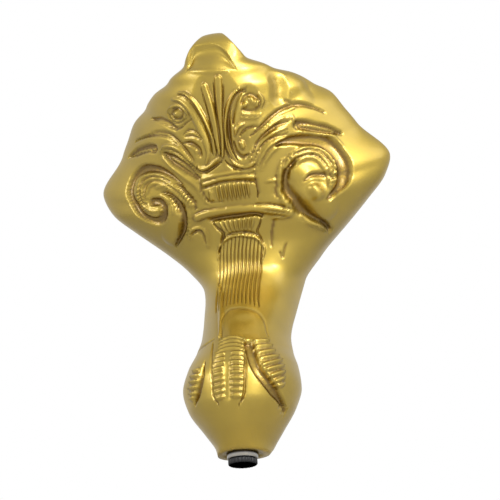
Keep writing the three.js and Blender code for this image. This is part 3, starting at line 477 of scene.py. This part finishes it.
def taper_along(taper, t):
    """Share of the full width at t along a stroke: three tenths at a tapered end, growing evenly
    to the whole at three tenths of the way."""
    start = np.clip(t / TAPER, 0, 1)
    end = np.clip((1 - t) / TAPER, 0, 1)
    if taper == "none":
        return np.ones_like(t)
    grow = {"start": start, "end": end, "both": np.minimum(start, end)}[taper]
    return TAPER + (1 - TAPER) * grow


def relief_at(points):
    """Height of the carving over the plain front: the highest ridge less the deepest groove. A
    ridge or groove falls off as (1 - (distance / reach)^2)^1.5, a channel or band as 1 - (distance
    / reach)^4, with the distance measured to the nearest point of its line. Swells and hollows
    are broad ridges and grooves that the rest is added to, so they are given back apart."""
    broad = np.zeros(len(points))
    ridge = np.zeros(len(points))
    groove = np.zeros(len(points))
    for _, kind, half, rise, taper, trace in STROKES:
        flat = smooth_line(trace)
        line = front_surface(np.clip(flat[:, 0] / 100, -1, 1), np.clip(flat[:, 1], 0, TOP))
        low = line.min(axis=0) - half
        high = line.max(axis=0) + half
        near = np.flatnonzero(np.all((points > low) & (points < high), axis=1))
        if len(near) == 0:
            continue
        start, run = line[:-1], np.diff(line, axis=0)
        away = points[near][:, None, :] - start[None]
        length = (run ** 2).sum(axis=1) + 1e-12
        t = np.clip((away * run[None]).sum(axis=2) / length, 0, 1)
        distance = np.linalg.norm(away - t[..., None] * run[None], axis=2)
        pick = distance.argmin(axis=1)
        rows = np.arange(len(near))
        along = (pick + t[rows, pick]) / len(run)
        reach = half * taper_along(taper, along)
        share = np.clip(distance[rows, pick] / reach, 0, 1)
        if kind in ("channel", "band"):
            height = rise * (1 - share ** 4)
        else:
            height = rise * (1 - share ** 2) ** 1.5
        if kind in ("hollow", "swell"):
            broad[near] += height if kind == "swell" else -height
        else:
            target = ridge if kind in ("ridge", "band") else groove
            target[near] = np.maximum(target[near], height)
    return broad, ridge - groove


# Scoop of the hood, in millimetres: its arch's middle, half widths, top, rise and wall, the line
# where its floor runs out and how that line slants, its depth, and the powers of its curves
SCOOP_MIDDLE, SCOOP_LEFT, SCOOP_RIGHT, SCOOP_LIMIT = -4.5, 8.3, 16.0, 1.5
SCOOP_TOP, SCOOP_RISE, SCOOP_WALL = 215.5, 16.7, 7.0
SCOOP_STEP, SCOOP_SLANT, SCOOP_DEPTH = 200.8, 0.13, 3.6
LEFT_POWER, RIGHT_POWER, WALL_POWER, FLOOR_POWER = 4.5, 3.3, 2.5, 1.2


def scoop_at(u, v):
    """Depth of the hood's scoop: under an arch that falls off as a power of the place across, from
    nothing at the step line, growing to the whole below the arch, where a round wall drops in."""
    x = front_surface(u, v)[..., 0]
    side = x - SCOOP_MIDDLE
    share = np.abs(side) / np.where(side > 0, SCOOP_RIGHT, SCOOP_LEFT)
    power = np.where(side > 0, RIGHT_POWER, LEFT_POWER)
    arch = SCOOP_TOP - SCOOP_RISE * np.minimum(share, SCOOP_LIMIT) ** power
    step = SCOOP_STEP - SCOOP_SLANT * x
    wall = np.clip((arch - v) / SCOOP_WALL, 0, 1)
    floor = np.clip((v - step) / np.maximum(arch - step, 1), 0, 1)
    return SCOOP_DEPTH * (1 - (1 - wall) ** WALL_POWER) * floor ** FLOOR_POWER


# Grid of the front: fine even steps across its middle and then steps out to the rim, and runs of
# rows, each with the distance where it ends and its count, closest where the carving is finest
MIDDLE_REACH, MIDDLE_SHARE = 12.5, 0.42
MIDDLE_STEPS, SIDE_STEPS = 46, 84
ROW_RUNS = [(21, 16), (59, 62), (80, 22), (104, 32), (212, 170), (TOP, 26)]
v_rows = [np.array([0.0])]
for end, count in ROW_RUNS:
    v_rows.append(np.linspace(v_rows[-1][-1], end, count + 1)[1:])
v_rows = np.concatenate(v_rows)[:, None]

section = section_at(v_rows)
width, depth, back, full, hollow, wall, edge = section[3:]
reach = np.minimum(MIDDLE_REACH, MIDDLE_SHARE * width)
middle = np.arcsin((reach * np.linspace(0, 1, MIDDLE_STEPS + 1) / width) ** (full / 2)) / (np.pi / 2)
side = middle[:, -1:] + (1 - middle[:, -1:]) * np.linspace(0, 1, SIDE_STEPS + 1)[1:]
u_half = np.concatenate([middle[:, 1:], side], axis=1)
u_front = np.concatenate([-u_half[:, ::-1], np.zeros_like(v_rows), u_half], axis=1)
v_front = np.broadcast_to(v_rows, u_front.shape)
front_points = front_surface(u_front, v_rows)

# Rear of each section: a mix of a solid back and an open shell with a rounded rim
RIM_STEPS, BACK_STEPS = 4, 19
REAR_STEPS = BACK_STEPS + 2 * RIM_STEPS
angle = np.pi / 2 - np.pi * np.arange(1, REAR_STEPS + 1) / (REAR_STEPS + 1)
solid_x = width * np.sign(np.sin(angle)) * np.abs(np.sin(angle)) ** (2 / full)
solid_h = depth + back * np.abs(np.cos(angle)) ** (2 / full)
turn = np.pi * np.arange(1, RIM_STEPS + 1) / (RIM_STEPS + 1)
rim_x = width - edge / 2 + edge / 2 * np.cos(turn)
rim_h = depth + edge / 2 * np.sin(turn)
sweep = np.linspace(np.pi / 2, -np.pi / 2, BACK_STEPS)
shell_x = (width - edge) * np.sign(np.sin(sweep)) * np.abs(np.sin(sweep)) ** (2 / full)
shell_h = depth - (depth - wall) * np.clip(np.cos(sweep), 0, 1) ** (2 / full)
open_x = np.concatenate([rim_x, shell_x, -rim_x[:, ::-1]], axis=1)
open_h = np.concatenate([rim_h, shell_h, rim_h[:, ::-1]], axis=1)
rear_points = in_section(section, solid_x * (1 - hollow) + open_x * hollow,
                         solid_h * (1 - hollow) + open_h * hollow)

# Carving along the surface's own normals, dying out at the rim and at the two end rows
RIM_FADE, SCOOP_FADE = 0.04, 0.2
across = np.gradient(front_points, axis=1)
upward = np.gradient(front_points, axis=0)
normal = np.cross(across, upward)
normal /= np.linalg.norm(normal, axis=2, keepdims=True) + 1e-12
broad, fine = (part.reshape(u_front.shape) for part in relief_at(front_points.reshape(-1, 3)))
relief = (broad + fine) * np.clip((1 - np.abs(u_front)) / RIM_FADE, 0, 1)
relief -= scoop_at(u_front, v_front) * np.clip((1 - np.abs(u_front)) / SCOOP_FADE, 0, 1)
relief[[0, -1]] = 0
carved = front_points + normal * relief[..., None]


def round_loop(radius, level):
    """A circle with a point at the angle of each point of the base row."""
    bend = u_front[0] * np.pi / 2
    x = radius * np.concatenate([np.sin(bend), np.sin(angle)])
    y = radius * np.concatenate([-np.cos(bend), np.cos(angle)])
    return np.stack([x, y, np.full_like(x, level)], axis=-1)[None]


BORE_RADIUS, BORE_TOP = 4.32, 36.0
RECESS_RADIUS, RECESS_TOP = 7.12, 8.36
bore = [round_loop(BORE_RADIUS, BORE_TOP), round_loop(BORE_RADIUS, RECESS_TOP),
        round_loop(RECESS_RADIUS, RECESS_TOP), round_loop(RECESS_RADIUS, BASE_HEIGHT)]
loops = np.concatenate([*bore, np.concatenate([carved, rear_points], axis=1)])


def skin_mesh(name, loops):
    """A closed mesh over a stack of loops: four-sided faces between neighbours and a fan to the
    middle of the first and last loop."""
    rows, count = loops.shape[:2]
    hubs = loops[[0, -1]].mean(axis=1)
    verts = np.concatenate([loops.reshape(-1, 3), hubs]) * MM
    i, j = np.meshgrid(np.arange(rows - 1), np.arange(count), indexing="ij")
    a = i * count + j
    b = i * count + (j + 1) % count
    quads = np.stack([a, b, b + count, a + count], axis=-1).reshape(-1, 4)
    k = np.arange(count)
    first = np.stack([np.full(count, rows * count), (k + 1) % count, k], axis=-1)
    last = (rows - 1) * count + np.stack([count + 1 + 0 * k, k, (k + 1) % count], axis=-1)
    mesh = bpy.data.meshes.new(name)
    mesh.from_pydata(verts.tolist(), [], quads.tolist() + first.tolist() + last.tolist())
    mesh.shade_smooth()
    return mesh


def add_object(name, data):
    """A new object of the scene, with the data that it shows."""
    thing = bpy.data.objects.new(name, data)
    bpy.context.scene.collection.objects.link(thing)
    return thing


casting_mesh = skin_mesh("foot_casting_carved", loops)

# Patina attribute, part patina and part painted shade: 1 at the floor of the grooves, 0 on open metal.
# It grows with how far a point lies below its smoothed neighbours and with the depth of its groove, and, as
# painted shade, with that of a deep hollow.
SMOOTHINGS, BELOW_GAIN, GROOVE_GAIN, HOLLOW_SHADE_GAIN, HOLLOW_FROM = 6, 1.8, 0.22, 0.35, 0.9
spread = fine.copy()
for _ in range(SMOOTHINGS):
    spread = (spread + np.roll(spread, 1, 0) + np.roll(spread, -1, 0)
              + np.roll(spread, 1, 1) + np.roll(spread, -1, 1)) / 5
# The deep-hollow term darkens broad recesses as painted shade
cavity = np.clip((spread - fine) * BELOW_GAIN + np.clip(-fine, 0, 2) * GROOVE_GAIN
                 + np.clip(-broad - HOLLOW_FROM, 0, 2) * HOLLOW_SHADE_GAIN, 0, 1)
grid = np.zeros(loops.shape[:2])
grid[len(bore):, :u_front.shape[1]] = cavity
patina_and_shade = np.zeros(len(casting_mesh.vertices))
patina_and_shade[:grid.size] = grid.ravel()
patina_and_shade_values = casting_mesh.attributes.new("patina_and_shade", "FLOAT", "POINT").data
patina_and_shade_values.foreach_set("value", patina_and_shade.astype(np.float32))
casting = add_object("foot_casting_carved", casting_mesh)

# Shelf across the hollow, cast with it: a plate with a slot open to the back
SHELF_LOW, SHELF_HIGH = 118.0, 123.0
SHELF_FRONT, SHELF_FLARE, SHELF_BACK = 10.33, 14.53, 33.53
SHELF_ROOT_HALF, SHELF_HALF = 5.0, 19.0
SLOT_HALF, SLOT_CENTRE = 4.5, 22.53
bend = np.linspace(0, -np.pi, 25)
shelf_outline = np.concatenate([
    [(-SHELF_ROOT_HALF, SHELF_FRONT), (SHELF_ROOT_HALF, SHELF_FRONT), (SHELF_HALF, SHELF_FLARE),
     (SHELF_HALF, SHELF_BACK), (SLOT_HALF, SHELF_BACK)],
    np.stack([SLOT_HALF * np.cos(bend), SLOT_CENTRE + SLOT_HALF * np.sin(bend)], axis=-1),
    [(-SLOT_HALF, SHELF_BACK), (-SHELF_HALF, SHELF_BACK), (-SHELF_HALF, SHELF_FLARE)]])


def plate_mesh(name, outline, low, high):
    """A flat plate: the outline at two levels, with a face on each and one between each pair."""
    count = len(outline)
    levels = [np.column_stack([outline, np.full(count, z)]) for z in (low, high)]
    k = np.arange(count)
    sides = np.stack([k, (k + 1) % count, (k + 1) % count + count, k + count], axis=-1)
    faces = [list(range(count))[::-1], list(range(count, 2 * count))] + sides.tolist()
    mesh = bpy.data.meshes.new(name)
    mesh.from_pydata((np.concatenate(levels) * MM).tolist(), [], faces)
    return mesh


shelf = add_object("shelf_cutter", plate_mesh("shelf_cutter", shelf_outline, SHELF_LOW, SHELF_HIGH))
join = casting.modifiers.new("shelf", "BOOLEAN")
join.operation = "UNION"
join.solver = "EXACT"
join.object = shelf
bpy.context.view_layer.update()
joined = bpy.data.meshes.new_from_object(casting.evaluated_get(bpy.context.evaluated_depsgraph_get()))
casting.modifiers.clear()
casting.data = joined
joined.name = "foot_casting_joined"
bpy.data.objects.remove(shelf)


def new_finish(name):
    """A material with nodes: the material, its tree and its main shader."""
    finish = bpy.data.materials.new(name)
    finish.use_nodes = True
    return finish, finish.node_tree, finish.node_tree.nodes["Principled BSDF"]


def feed(tree, node, values):
    """Gives a node's inputs their values: another node's socket is linked, a plain value is set."""
    for key, value in values.items():
        if isinstance(value, bpy.types.NodeSocket):
            tree.links.new(value, node.inputs[key])
        else:
            node.inputs[key].default_value = value


def noise_over(tree, scale, detail=2.0):
    """The value of a noise laid over the object's own coordinates."""
    place = tree.nodes.new("ShaderNodeTexCoord").outputs["Object"]
    noise = tree.nodes.new("ShaderNodeTexNoise")
    feed(tree, noise, {"Vector": place, "Scale": scale, "Detail": detail})
    return noise.outputs["Fac"]


def carried_over(tree, source, low, high, start=0.0, end=1.0):
    """The source's value carried evenly from the range start to end onto the range low to high."""
    span = tree.nodes.new("ShaderNodeMapRange")
    feed(tree, span, {"Value": source, "From Min": start, "From Max": end, "To Min": low, "To Max": high})
    return span.outputs["Result"]


def mixed(tree, factor, first, second, blend="MIX"):
    """Two colours mixed by a factor: the first at 0, and at 1 the second or, multiplied, both."""
    mix = tree.nodes.new("ShaderNodeMix")
    mix.data_type = "RGBA"
    mix.blend_type = blend
    feed(tree, mix, {"Factor": factor, "A": first, "B": second})
    return mix.outputs["Result"]


def bumped(tree, height, strength, distance):
    """The surface's normal, tilted by the slopes of a height over a distance in metres."""
    bump = tree.nodes.new("ShaderNodeBump")
    feed(tree, bump, {"Height": height, "Strength": strength, "Distance": distance})
    return bump.outputs["Normal"]


# Satin gold: lacquered brass, its grooves browner from patina and painted shade, with a fine blasted grain
# that is coarser there
SATIN_GOLD = (0.50, 0.350, 0.042, 1)
GROOVE_GOLD = (0.25, 0.145, 0.012, 1)
CLOUD_LOW, CLOUD_HIGH = 0.3, 0.7
gold, tree, shader = new_finish("satin_gold_cast")
patina_and_shade_node = tree.nodes.new("ShaderNodeAttribute")
patina_and_shade_node.attribute_name = "patina_and_shade"
patina_and_shade_factor = patina_and_shade_node.outputs["Fac"]
cloud = noise_over(tree, 45, 4)
shade = carried_over(tree, cloud, 0.9, 1.06, CLOUD_LOW, CLOUD_HIGH)
feed(tree, shader, {
    "Base Color": mixed(tree, 1.0, mixed(tree, patina_and_shade_factor, SATIN_GOLD, GROOVE_GOLD), shade, "MULTIPLY"),
    "Metallic": 1.0, "Coat Weight": 0.55, "Coat Roughness": 0.25, "Coat IOR": 1.8,
    "Roughness": carried_over(tree, cloud, 0.38, 0.46, CLOUD_LOW, CLOUD_HIGH),
    "Normal": bumped(tree, noise_over(tree, 900), carried_over(tree, patina_and_shade_factor, 0.10, 0.75), 0.0003)})
joined.materials.clear()
joined.materials.append(gold)
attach(casting, "casting")
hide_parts("foot_casting")

# Leveller stud: an M8 steel stud, turned and rolled, with a round head held inside the cup. Its
# shank goes up into the casting's thread, so only the head end could ever be seen.
STUD_RADIUS, STUD_TOP, STUD_CHAMFER, STUD_POINTS = 4.0, 32.0, 0.8, 48
THREAD_PITCH, THREAD_DEPTH, THREAD_START, THREAD_RUN_OUT = 1.25, 0.65, 0.6, 1.5
HEAD_RADIUS, HEAD_LOW, HEAD_HIGH = 5.2, 3.32, 4.72
HEAD_LOW_EDGE, HEAD_HIGH_EDGE = 0.3, 0.2
turns = np.linspace(0, 2 * np.pi, STUD_POINTS, endpoint=False)
levels = np.arange(HEAD_HIGH + THREAD_START, STUD_TOP - STUD_CHAMFER, THREAD_PITCH / 8)[:, None]
phase = levels / THREAD_PITCH - turns[None] / (2 * np.pi)
cut = THREAD_DEPTH * np.abs(2 * (phase % 1) - 1)
ease = (np.clip((levels - levels[0]) / THREAD_RUN_OUT, 0, 1)
        * np.clip((levels[-1] - levels) / THREAD_RUN_OUT, 0, 1))


def stud_rings(radius, level):
    """Circles of the stud's points, one for each row of the radius, each at its level."""
    radius = np.broadcast_to(radius, (np.size(level), STUD_POINTS))
    return np.stack([radius * np.cos(turns), radius * np.sin(turns),
                     np.broadcast_to(level, radius.shape)], axis=-1)


stud_loops = np.concatenate([
    stud_rings(HEAD_RADIUS - HEAD_LOW_EDGE, HEAD_LOW), stud_rings(HEAD_RADIUS, HEAD_LOW + HEAD_LOW_EDGE),
    stud_rings(HEAD_RADIUS, HEAD_HIGH - HEAD_HIGH_EDGE), stud_rings(HEAD_RADIUS - HEAD_HIGH_EDGE, HEAD_HIGH),
    stud_rings(STUD_RADIUS, HEAD_HIGH), stud_rings(STUD_RADIUS - cut * ease, levels),
    stud_rings(STUD_RADIUS, STUD_TOP - STUD_CHAMFER), stud_rings(STUD_RADIUS - STUD_CHAMFER, STUD_TOP)])
stud = add_object("leveller_stud_threaded", skin_mesh("leveller_stud_threaded", stud_loops))
steel, tree, shader = new_finish("zinc_plated_steel")
feed(tree, shader, {"Base Color": (0.45, 0.45, 0.46, 1), "Metallic": 1.0,
                    "Roughness": carried_over(tree, noise_over(tree, 300), 0.3, 0.5)})
stud.data.materials.append(steel)
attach(stud, "stud")
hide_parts("leveller_stud")

# Leveller cup: a bright nickel-plated steel ring, pressed from sheet, that holds the stud's head
# over the pad. Its top has a hole for the shank and a rolled outer edge.
CUP_RADIUS, CUP_BORE, CUP_INNER = 6.8, 4.32, 5.7
CUP_LOW, CUP_SHOULDER, CUP_TOP = 2.62, 5.04, 6.04
CUP_ROLL, INNER_EDGE, OUTER_EDGE, BORE_EDGE = 0.7, 0.2, 0.25, 0.15
bend = np.linspace(0, np.pi / 2, 7)
rolled = [(CUP_RADIUS - CUP_ROLL + CUP_ROLL * c, CUP_TOP - CUP_ROLL + CUP_ROLL * s)
          for c, s in zip(np.cos(bend), np.sin(bend))]
cup_profile = np.array([(CUP_INNER, CUP_LOW + INNER_EDGE), (CUP_INNER + INNER_EDGE, CUP_LOW),
                        (CUP_RADIUS - OUTER_EDGE, CUP_LOW), (CUP_RADIUS, CUP_LOW + OUTER_EDGE),
                        *rolled, (CUP_BORE + BORE_EDGE, CUP_TOP), (CUP_BORE, CUP_TOP - BORE_EDGE),
                        (CUP_BORE, CUP_SHOULDER), (CUP_INNER, CUP_SHOULDER)])


def turned_ring(name, profile, count=96):
    """A closed ring: every point of the closed profile carried round the Z axis."""
    around = np.linspace(0, 2 * np.pi, count, endpoint=False)[:, None]
    verts = np.stack([profile[:, 0] * np.cos(around), profile[:, 0] * np.sin(around),
                      np.broadcast_to(profile[:, 1], (count, len(profile)))], axis=-1)
    i, j = np.meshgrid(np.arange(count), np.arange(len(profile)), indexing="ij")
    n = len(profile)
    a, b = i * n + j, i * n + (j + 1) % n
    c, d = ((i + 1) % count) * n + (j + 1) % n, ((i + 1) % count) * n + j
    faces = np.stack([a, d, c, b], axis=-1).reshape(-1, 4)
    mesh = bpy.data.meshes.new(name)
    mesh.from_pydata((verts.reshape(-1, 3) * MM).tolist(), [], faces.tolist())
    mesh.shade_smooth()
    return mesh


cup = add_object("leveller_cup_plated", turned_ring("leveller_cup_plated", cup_profile))
# The cup's upper part darkens to near black from 3.6 mm up, fully dark above 4.6 mm: painted shade of the
# casting's recess over it
PLATE_COLOUR, RECESS_SHADE_COLOUR = (0.52, 0.51, 0.49, 1), (0.05, 0.04, 0.03, 1)
PAINTED_SHADE_LOW, PAINTED_SHADE_HIGH = 0.0036, 0.0046
nickel, tree, shader = new_finish("nickel_plate")
height_of = tree.nodes.new("ShaderNodeSeparateXYZ")
feed(tree, height_of, {"Vector": tree.nodes.new("ShaderNodeTexCoord").outputs["Object"]})
painted_shade_band = tree.nodes.new("ShaderNodeMapRange")
painted_shade_band.interpolation_type = "SMOOTHSTEP"
feed(tree, painted_shade_band, {"Value": height_of.outputs["Z"], "From Min": PAINTED_SHADE_LOW, "From Max": PAINTED_SHADE_HIGH})
feed(tree, shader, {"Base Color": mixed(tree, painted_shade_band.outputs["Result"], PLATE_COLOUR, RECESS_SHADE_COLOUR),
                    "Metallic": 1.0,
                    "Roughness": carried_over(tree, noise_over(tree, 400), 0.12, 0.26)})
cup.data.materials.append(nickel)
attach(cup, "glide")
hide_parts("leveller_cup")

# Leveller pad: a moulded black nylon foot with fine ribs round its edge, snapped into the cup. It
# stands on the floor and doesn't turn with the stud.
PAD_RADIUS, PAD_RIBS, RIB_DEPTH, RIB_SWING = 6.4, 24, 0.35, 1.4
PAD_SIDE, PAD_TOP, PAD_PLUG, PLUG_EDGE = 2.3, 3.0, 5.38, 0.15
around = np.linspace(0, 2 * np.pi, PAD_RIBS * 8, endpoint=False)
rib = RIB_DEPTH * np.clip(0.5 + RIB_SWING * np.cos(PAD_RIBS * around), 0, 1)


def pad_ring(radius, ribbed, level):
    """A ring of the pad: the radius less the rib depth, which follows a clipped cosine round it."""
    r = radius - ribbed * (RIB_DEPTH - rib)
    return np.stack([r * np.cos(around), r * np.sin(around), np.full_like(around, level)], axis=-1)[None]


# Rings of the pad from the floor up: radius, share of the ribs' depth and level, with rounded edges
pad_loops = np.concatenate([pad_ring(*ring) for ring in (
    (PAD_RADIUS - 0.9, 0.3, 0.0), (PAD_RADIUS - 0.45, 0.7, 0.0), (PAD_RADIUS - 0.12, 1, 0.22),
    (PAD_RADIUS, 1, 0.5), (PAD_RADIUS, 1, PAD_SIDE - 0.45), (PAD_RADIUS - 0.1, 0.6, PAD_SIDE - 0.15),
    (PAD_RADIUS - 0.3, 0, PAD_SIDE), (PAD_PLUG, 0, PAD_SIDE), (PAD_PLUG, 0, PAD_TOP - PLUG_EDGE),
    (PAD_PLUG - PLUG_EDGE, 0, PAD_TOP))])
pad = add_object("leveller_pad_ribbed", skin_mesh("leveller_pad_ribbed", pad_loops))
nylon, tree, shader = new_finish("black_nylon_moulded")
texture = noise_over(tree, 1200)
feed(tree, shader, {"Base Color": (0.012, 0.012, 0.013, 1),
                    "Roughness": carried_over(tree, texture, 0.35, 0.55),
                    "Normal": bumped(tree, texture, 0.2, 0.0001)})
pad.data.materials.append(nylon)
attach(pad, "glide")
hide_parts("leveller_pad")

# Studio: a pale floor seen only from above, because the photograph looks up from under its level,
# a white world that lights less than it shows, and four soft lamps.
FLOOR_HALF = 1.5
floor_mesh = bpy.data.meshes.new("studio_floor")
floor_corners = [(x * FLOOR_HALF, y * FLOOR_HALF, 0) for x, y in ((-1, -1), (1, -1), (1, 1), (-1, 1))]
floor_mesh.from_pydata(floor_corners, [], [(0, 1, 2, 3)])
floor = add_object("studio_floor", floor_mesh)
floor_finish, tree, shader = new_finish("pale_floor_one_sided")
feed(tree, shader, {"Base Color": (0.75, 0.75, 0.75, 1), "Roughness": 0.8})
from_behind = tree.nodes.new("ShaderNodeNewGeometry").outputs["Backfacing"]
clear = tree.nodes.new("ShaderNodeBsdfTransparent")
one_sided = tree.nodes.new("ShaderNodeMixShader")
feed(tree, one_sided, {"Fac": from_behind, 1: shader.outputs["BSDF"], 2: clear.outputs["BSDF"]})
feed(tree, tree.nodes["Material Output"], {"Surface": one_sided.outputs["Shader"]})
floor_mesh.materials.append(floor_finish)

# Strength of the white world in reflections and as plain light, where the camera sees it at 1
GLOSSY_WORLD, DULL_WORLD = 0.7, 0.4
world = bpy.data.worlds.new("white_studio")
bpy.context.scene.world = world
world.use_nodes = True
tree = world.node_tree
path = tree.nodes.new("ShaderNodeLightPath").outputs


def reckoned(operation, first, second):
    """The result of one operation of the world's nodes on two values."""
    node = tree.nodes.new("ShaderNodeMath")
    node.operation = operation
    feed(tree, node, {0: first, 1: second})
    return node.outputs["Value"]


seen = reckoned("MAXIMUM", path["Is Camera Ray"], path["Is Transmission Ray"])
glossy = reckoned("MULTIPLY", path["Is Glossy Ray"], GLOSSY_WORLD)
strength = reckoned("MAXIMUM", reckoned("MAXIMUM", seen, glossy), DULL_WORLD)
feed(tree, tree.nodes["Background"], {"Color": (1, 1, 1, 1), "Strength": strength})


def soft_lamp(name, place, size, power):
    """A square area lamp at a place in metres, turned to face the middle of the foot."""
    light = bpy.data.lights.new(name, "AREA")
    light.size = size
    light.energy = power
    facing = (Vector((0, 0, 0.1)) - Vector(place)).to_track_quat("-Z", "Y")
    lamp = add_object(name, light)
    lamp.matrix_world = Matrix.Translation(Vector(place)) @ facing.to_matrix().to_4x4()


soft_lamp("front_softbox", (0.45, -0.7, 0.6), 0.4, 4.0)
soft_lamp("right_softbox", (0.8, -0.2, 0.5), 0.5, 1.0)
soft_lamp("right_spot", (0.6, -0.6, 0.3), 0.15, 2.2)
soft_lamp("left_softbox", (-0.6, -0.6, 0.4), 0.3, 1.8)

# Camera: a long lens below the foot and a little to its right, with a slight roll, fitted to the
# photograph from mirrored points of the carving.
VIEW_RIGHT, VIEW_UP, VIEW_ROLL = np.radians(13.6), np.radians(-22.0), np.radians(-2.27)
VIEW_TARGET = np.array([0.0, -5.7, 95.8])
FOCAL_PIXELS, PIXELS_PER_MM, FRAME_PIXELS = 1500.0, 2.2, 500
OFF_CENTRE = (18.4, 5.9)
SENSOR = 36.0
toward = np.array([np.sin(VIEW_RIGHT) * np.cos(VIEW_UP), -np.cos(VIEW_RIGHT) * np.cos(VIEW_UP),
                   np.sin(VIEW_UP)])
level_right = np.array([np.cos(VIEW_RIGHT), np.sin(VIEW_RIGHT), 0.0])
level_up = np.cross(toward, level_right)
right = level_right * np.cos(VIEW_ROLL) + level_up * np.sin(VIEW_ROLL)
up = level_up * np.cos(VIEW_ROLL) - level_right * np.sin(VIEW_ROLL)
place = VIEW_TARGET + toward * FOCAL_PIXELS / PIXELS_PER_MM
aim = VIEW_TARGET + (right * OFF_CENTRE[0] + up * OFF_CENTRE[1]) / PIXELS_PER_MM
behind = (place - aim) / np.linalg.norm(place - aim)
right = right - behind * right.dot(behind)
right /= np.linalg.norm(right)
up = np.cross(behind, right)
camera_data = bpy.data.cameras.new("photo_camera")
camera_data.sensor_width = SENSOR
camera_data.lens = FOCAL_PIXELS / FRAME_PIXELS * SENSOR
camera_data.clip_start = 0.01
camera = add_object("photo_camera", camera_data)
turned = Matrix((right, up, behind)).transposed()
camera.matrix_world = Matrix.Translation(Vector(place * MM)) @ turned.to_4x4()
bpy.context.scene.camera = camera
bpy.context.scene.view_settings.view_transform = "Standard"
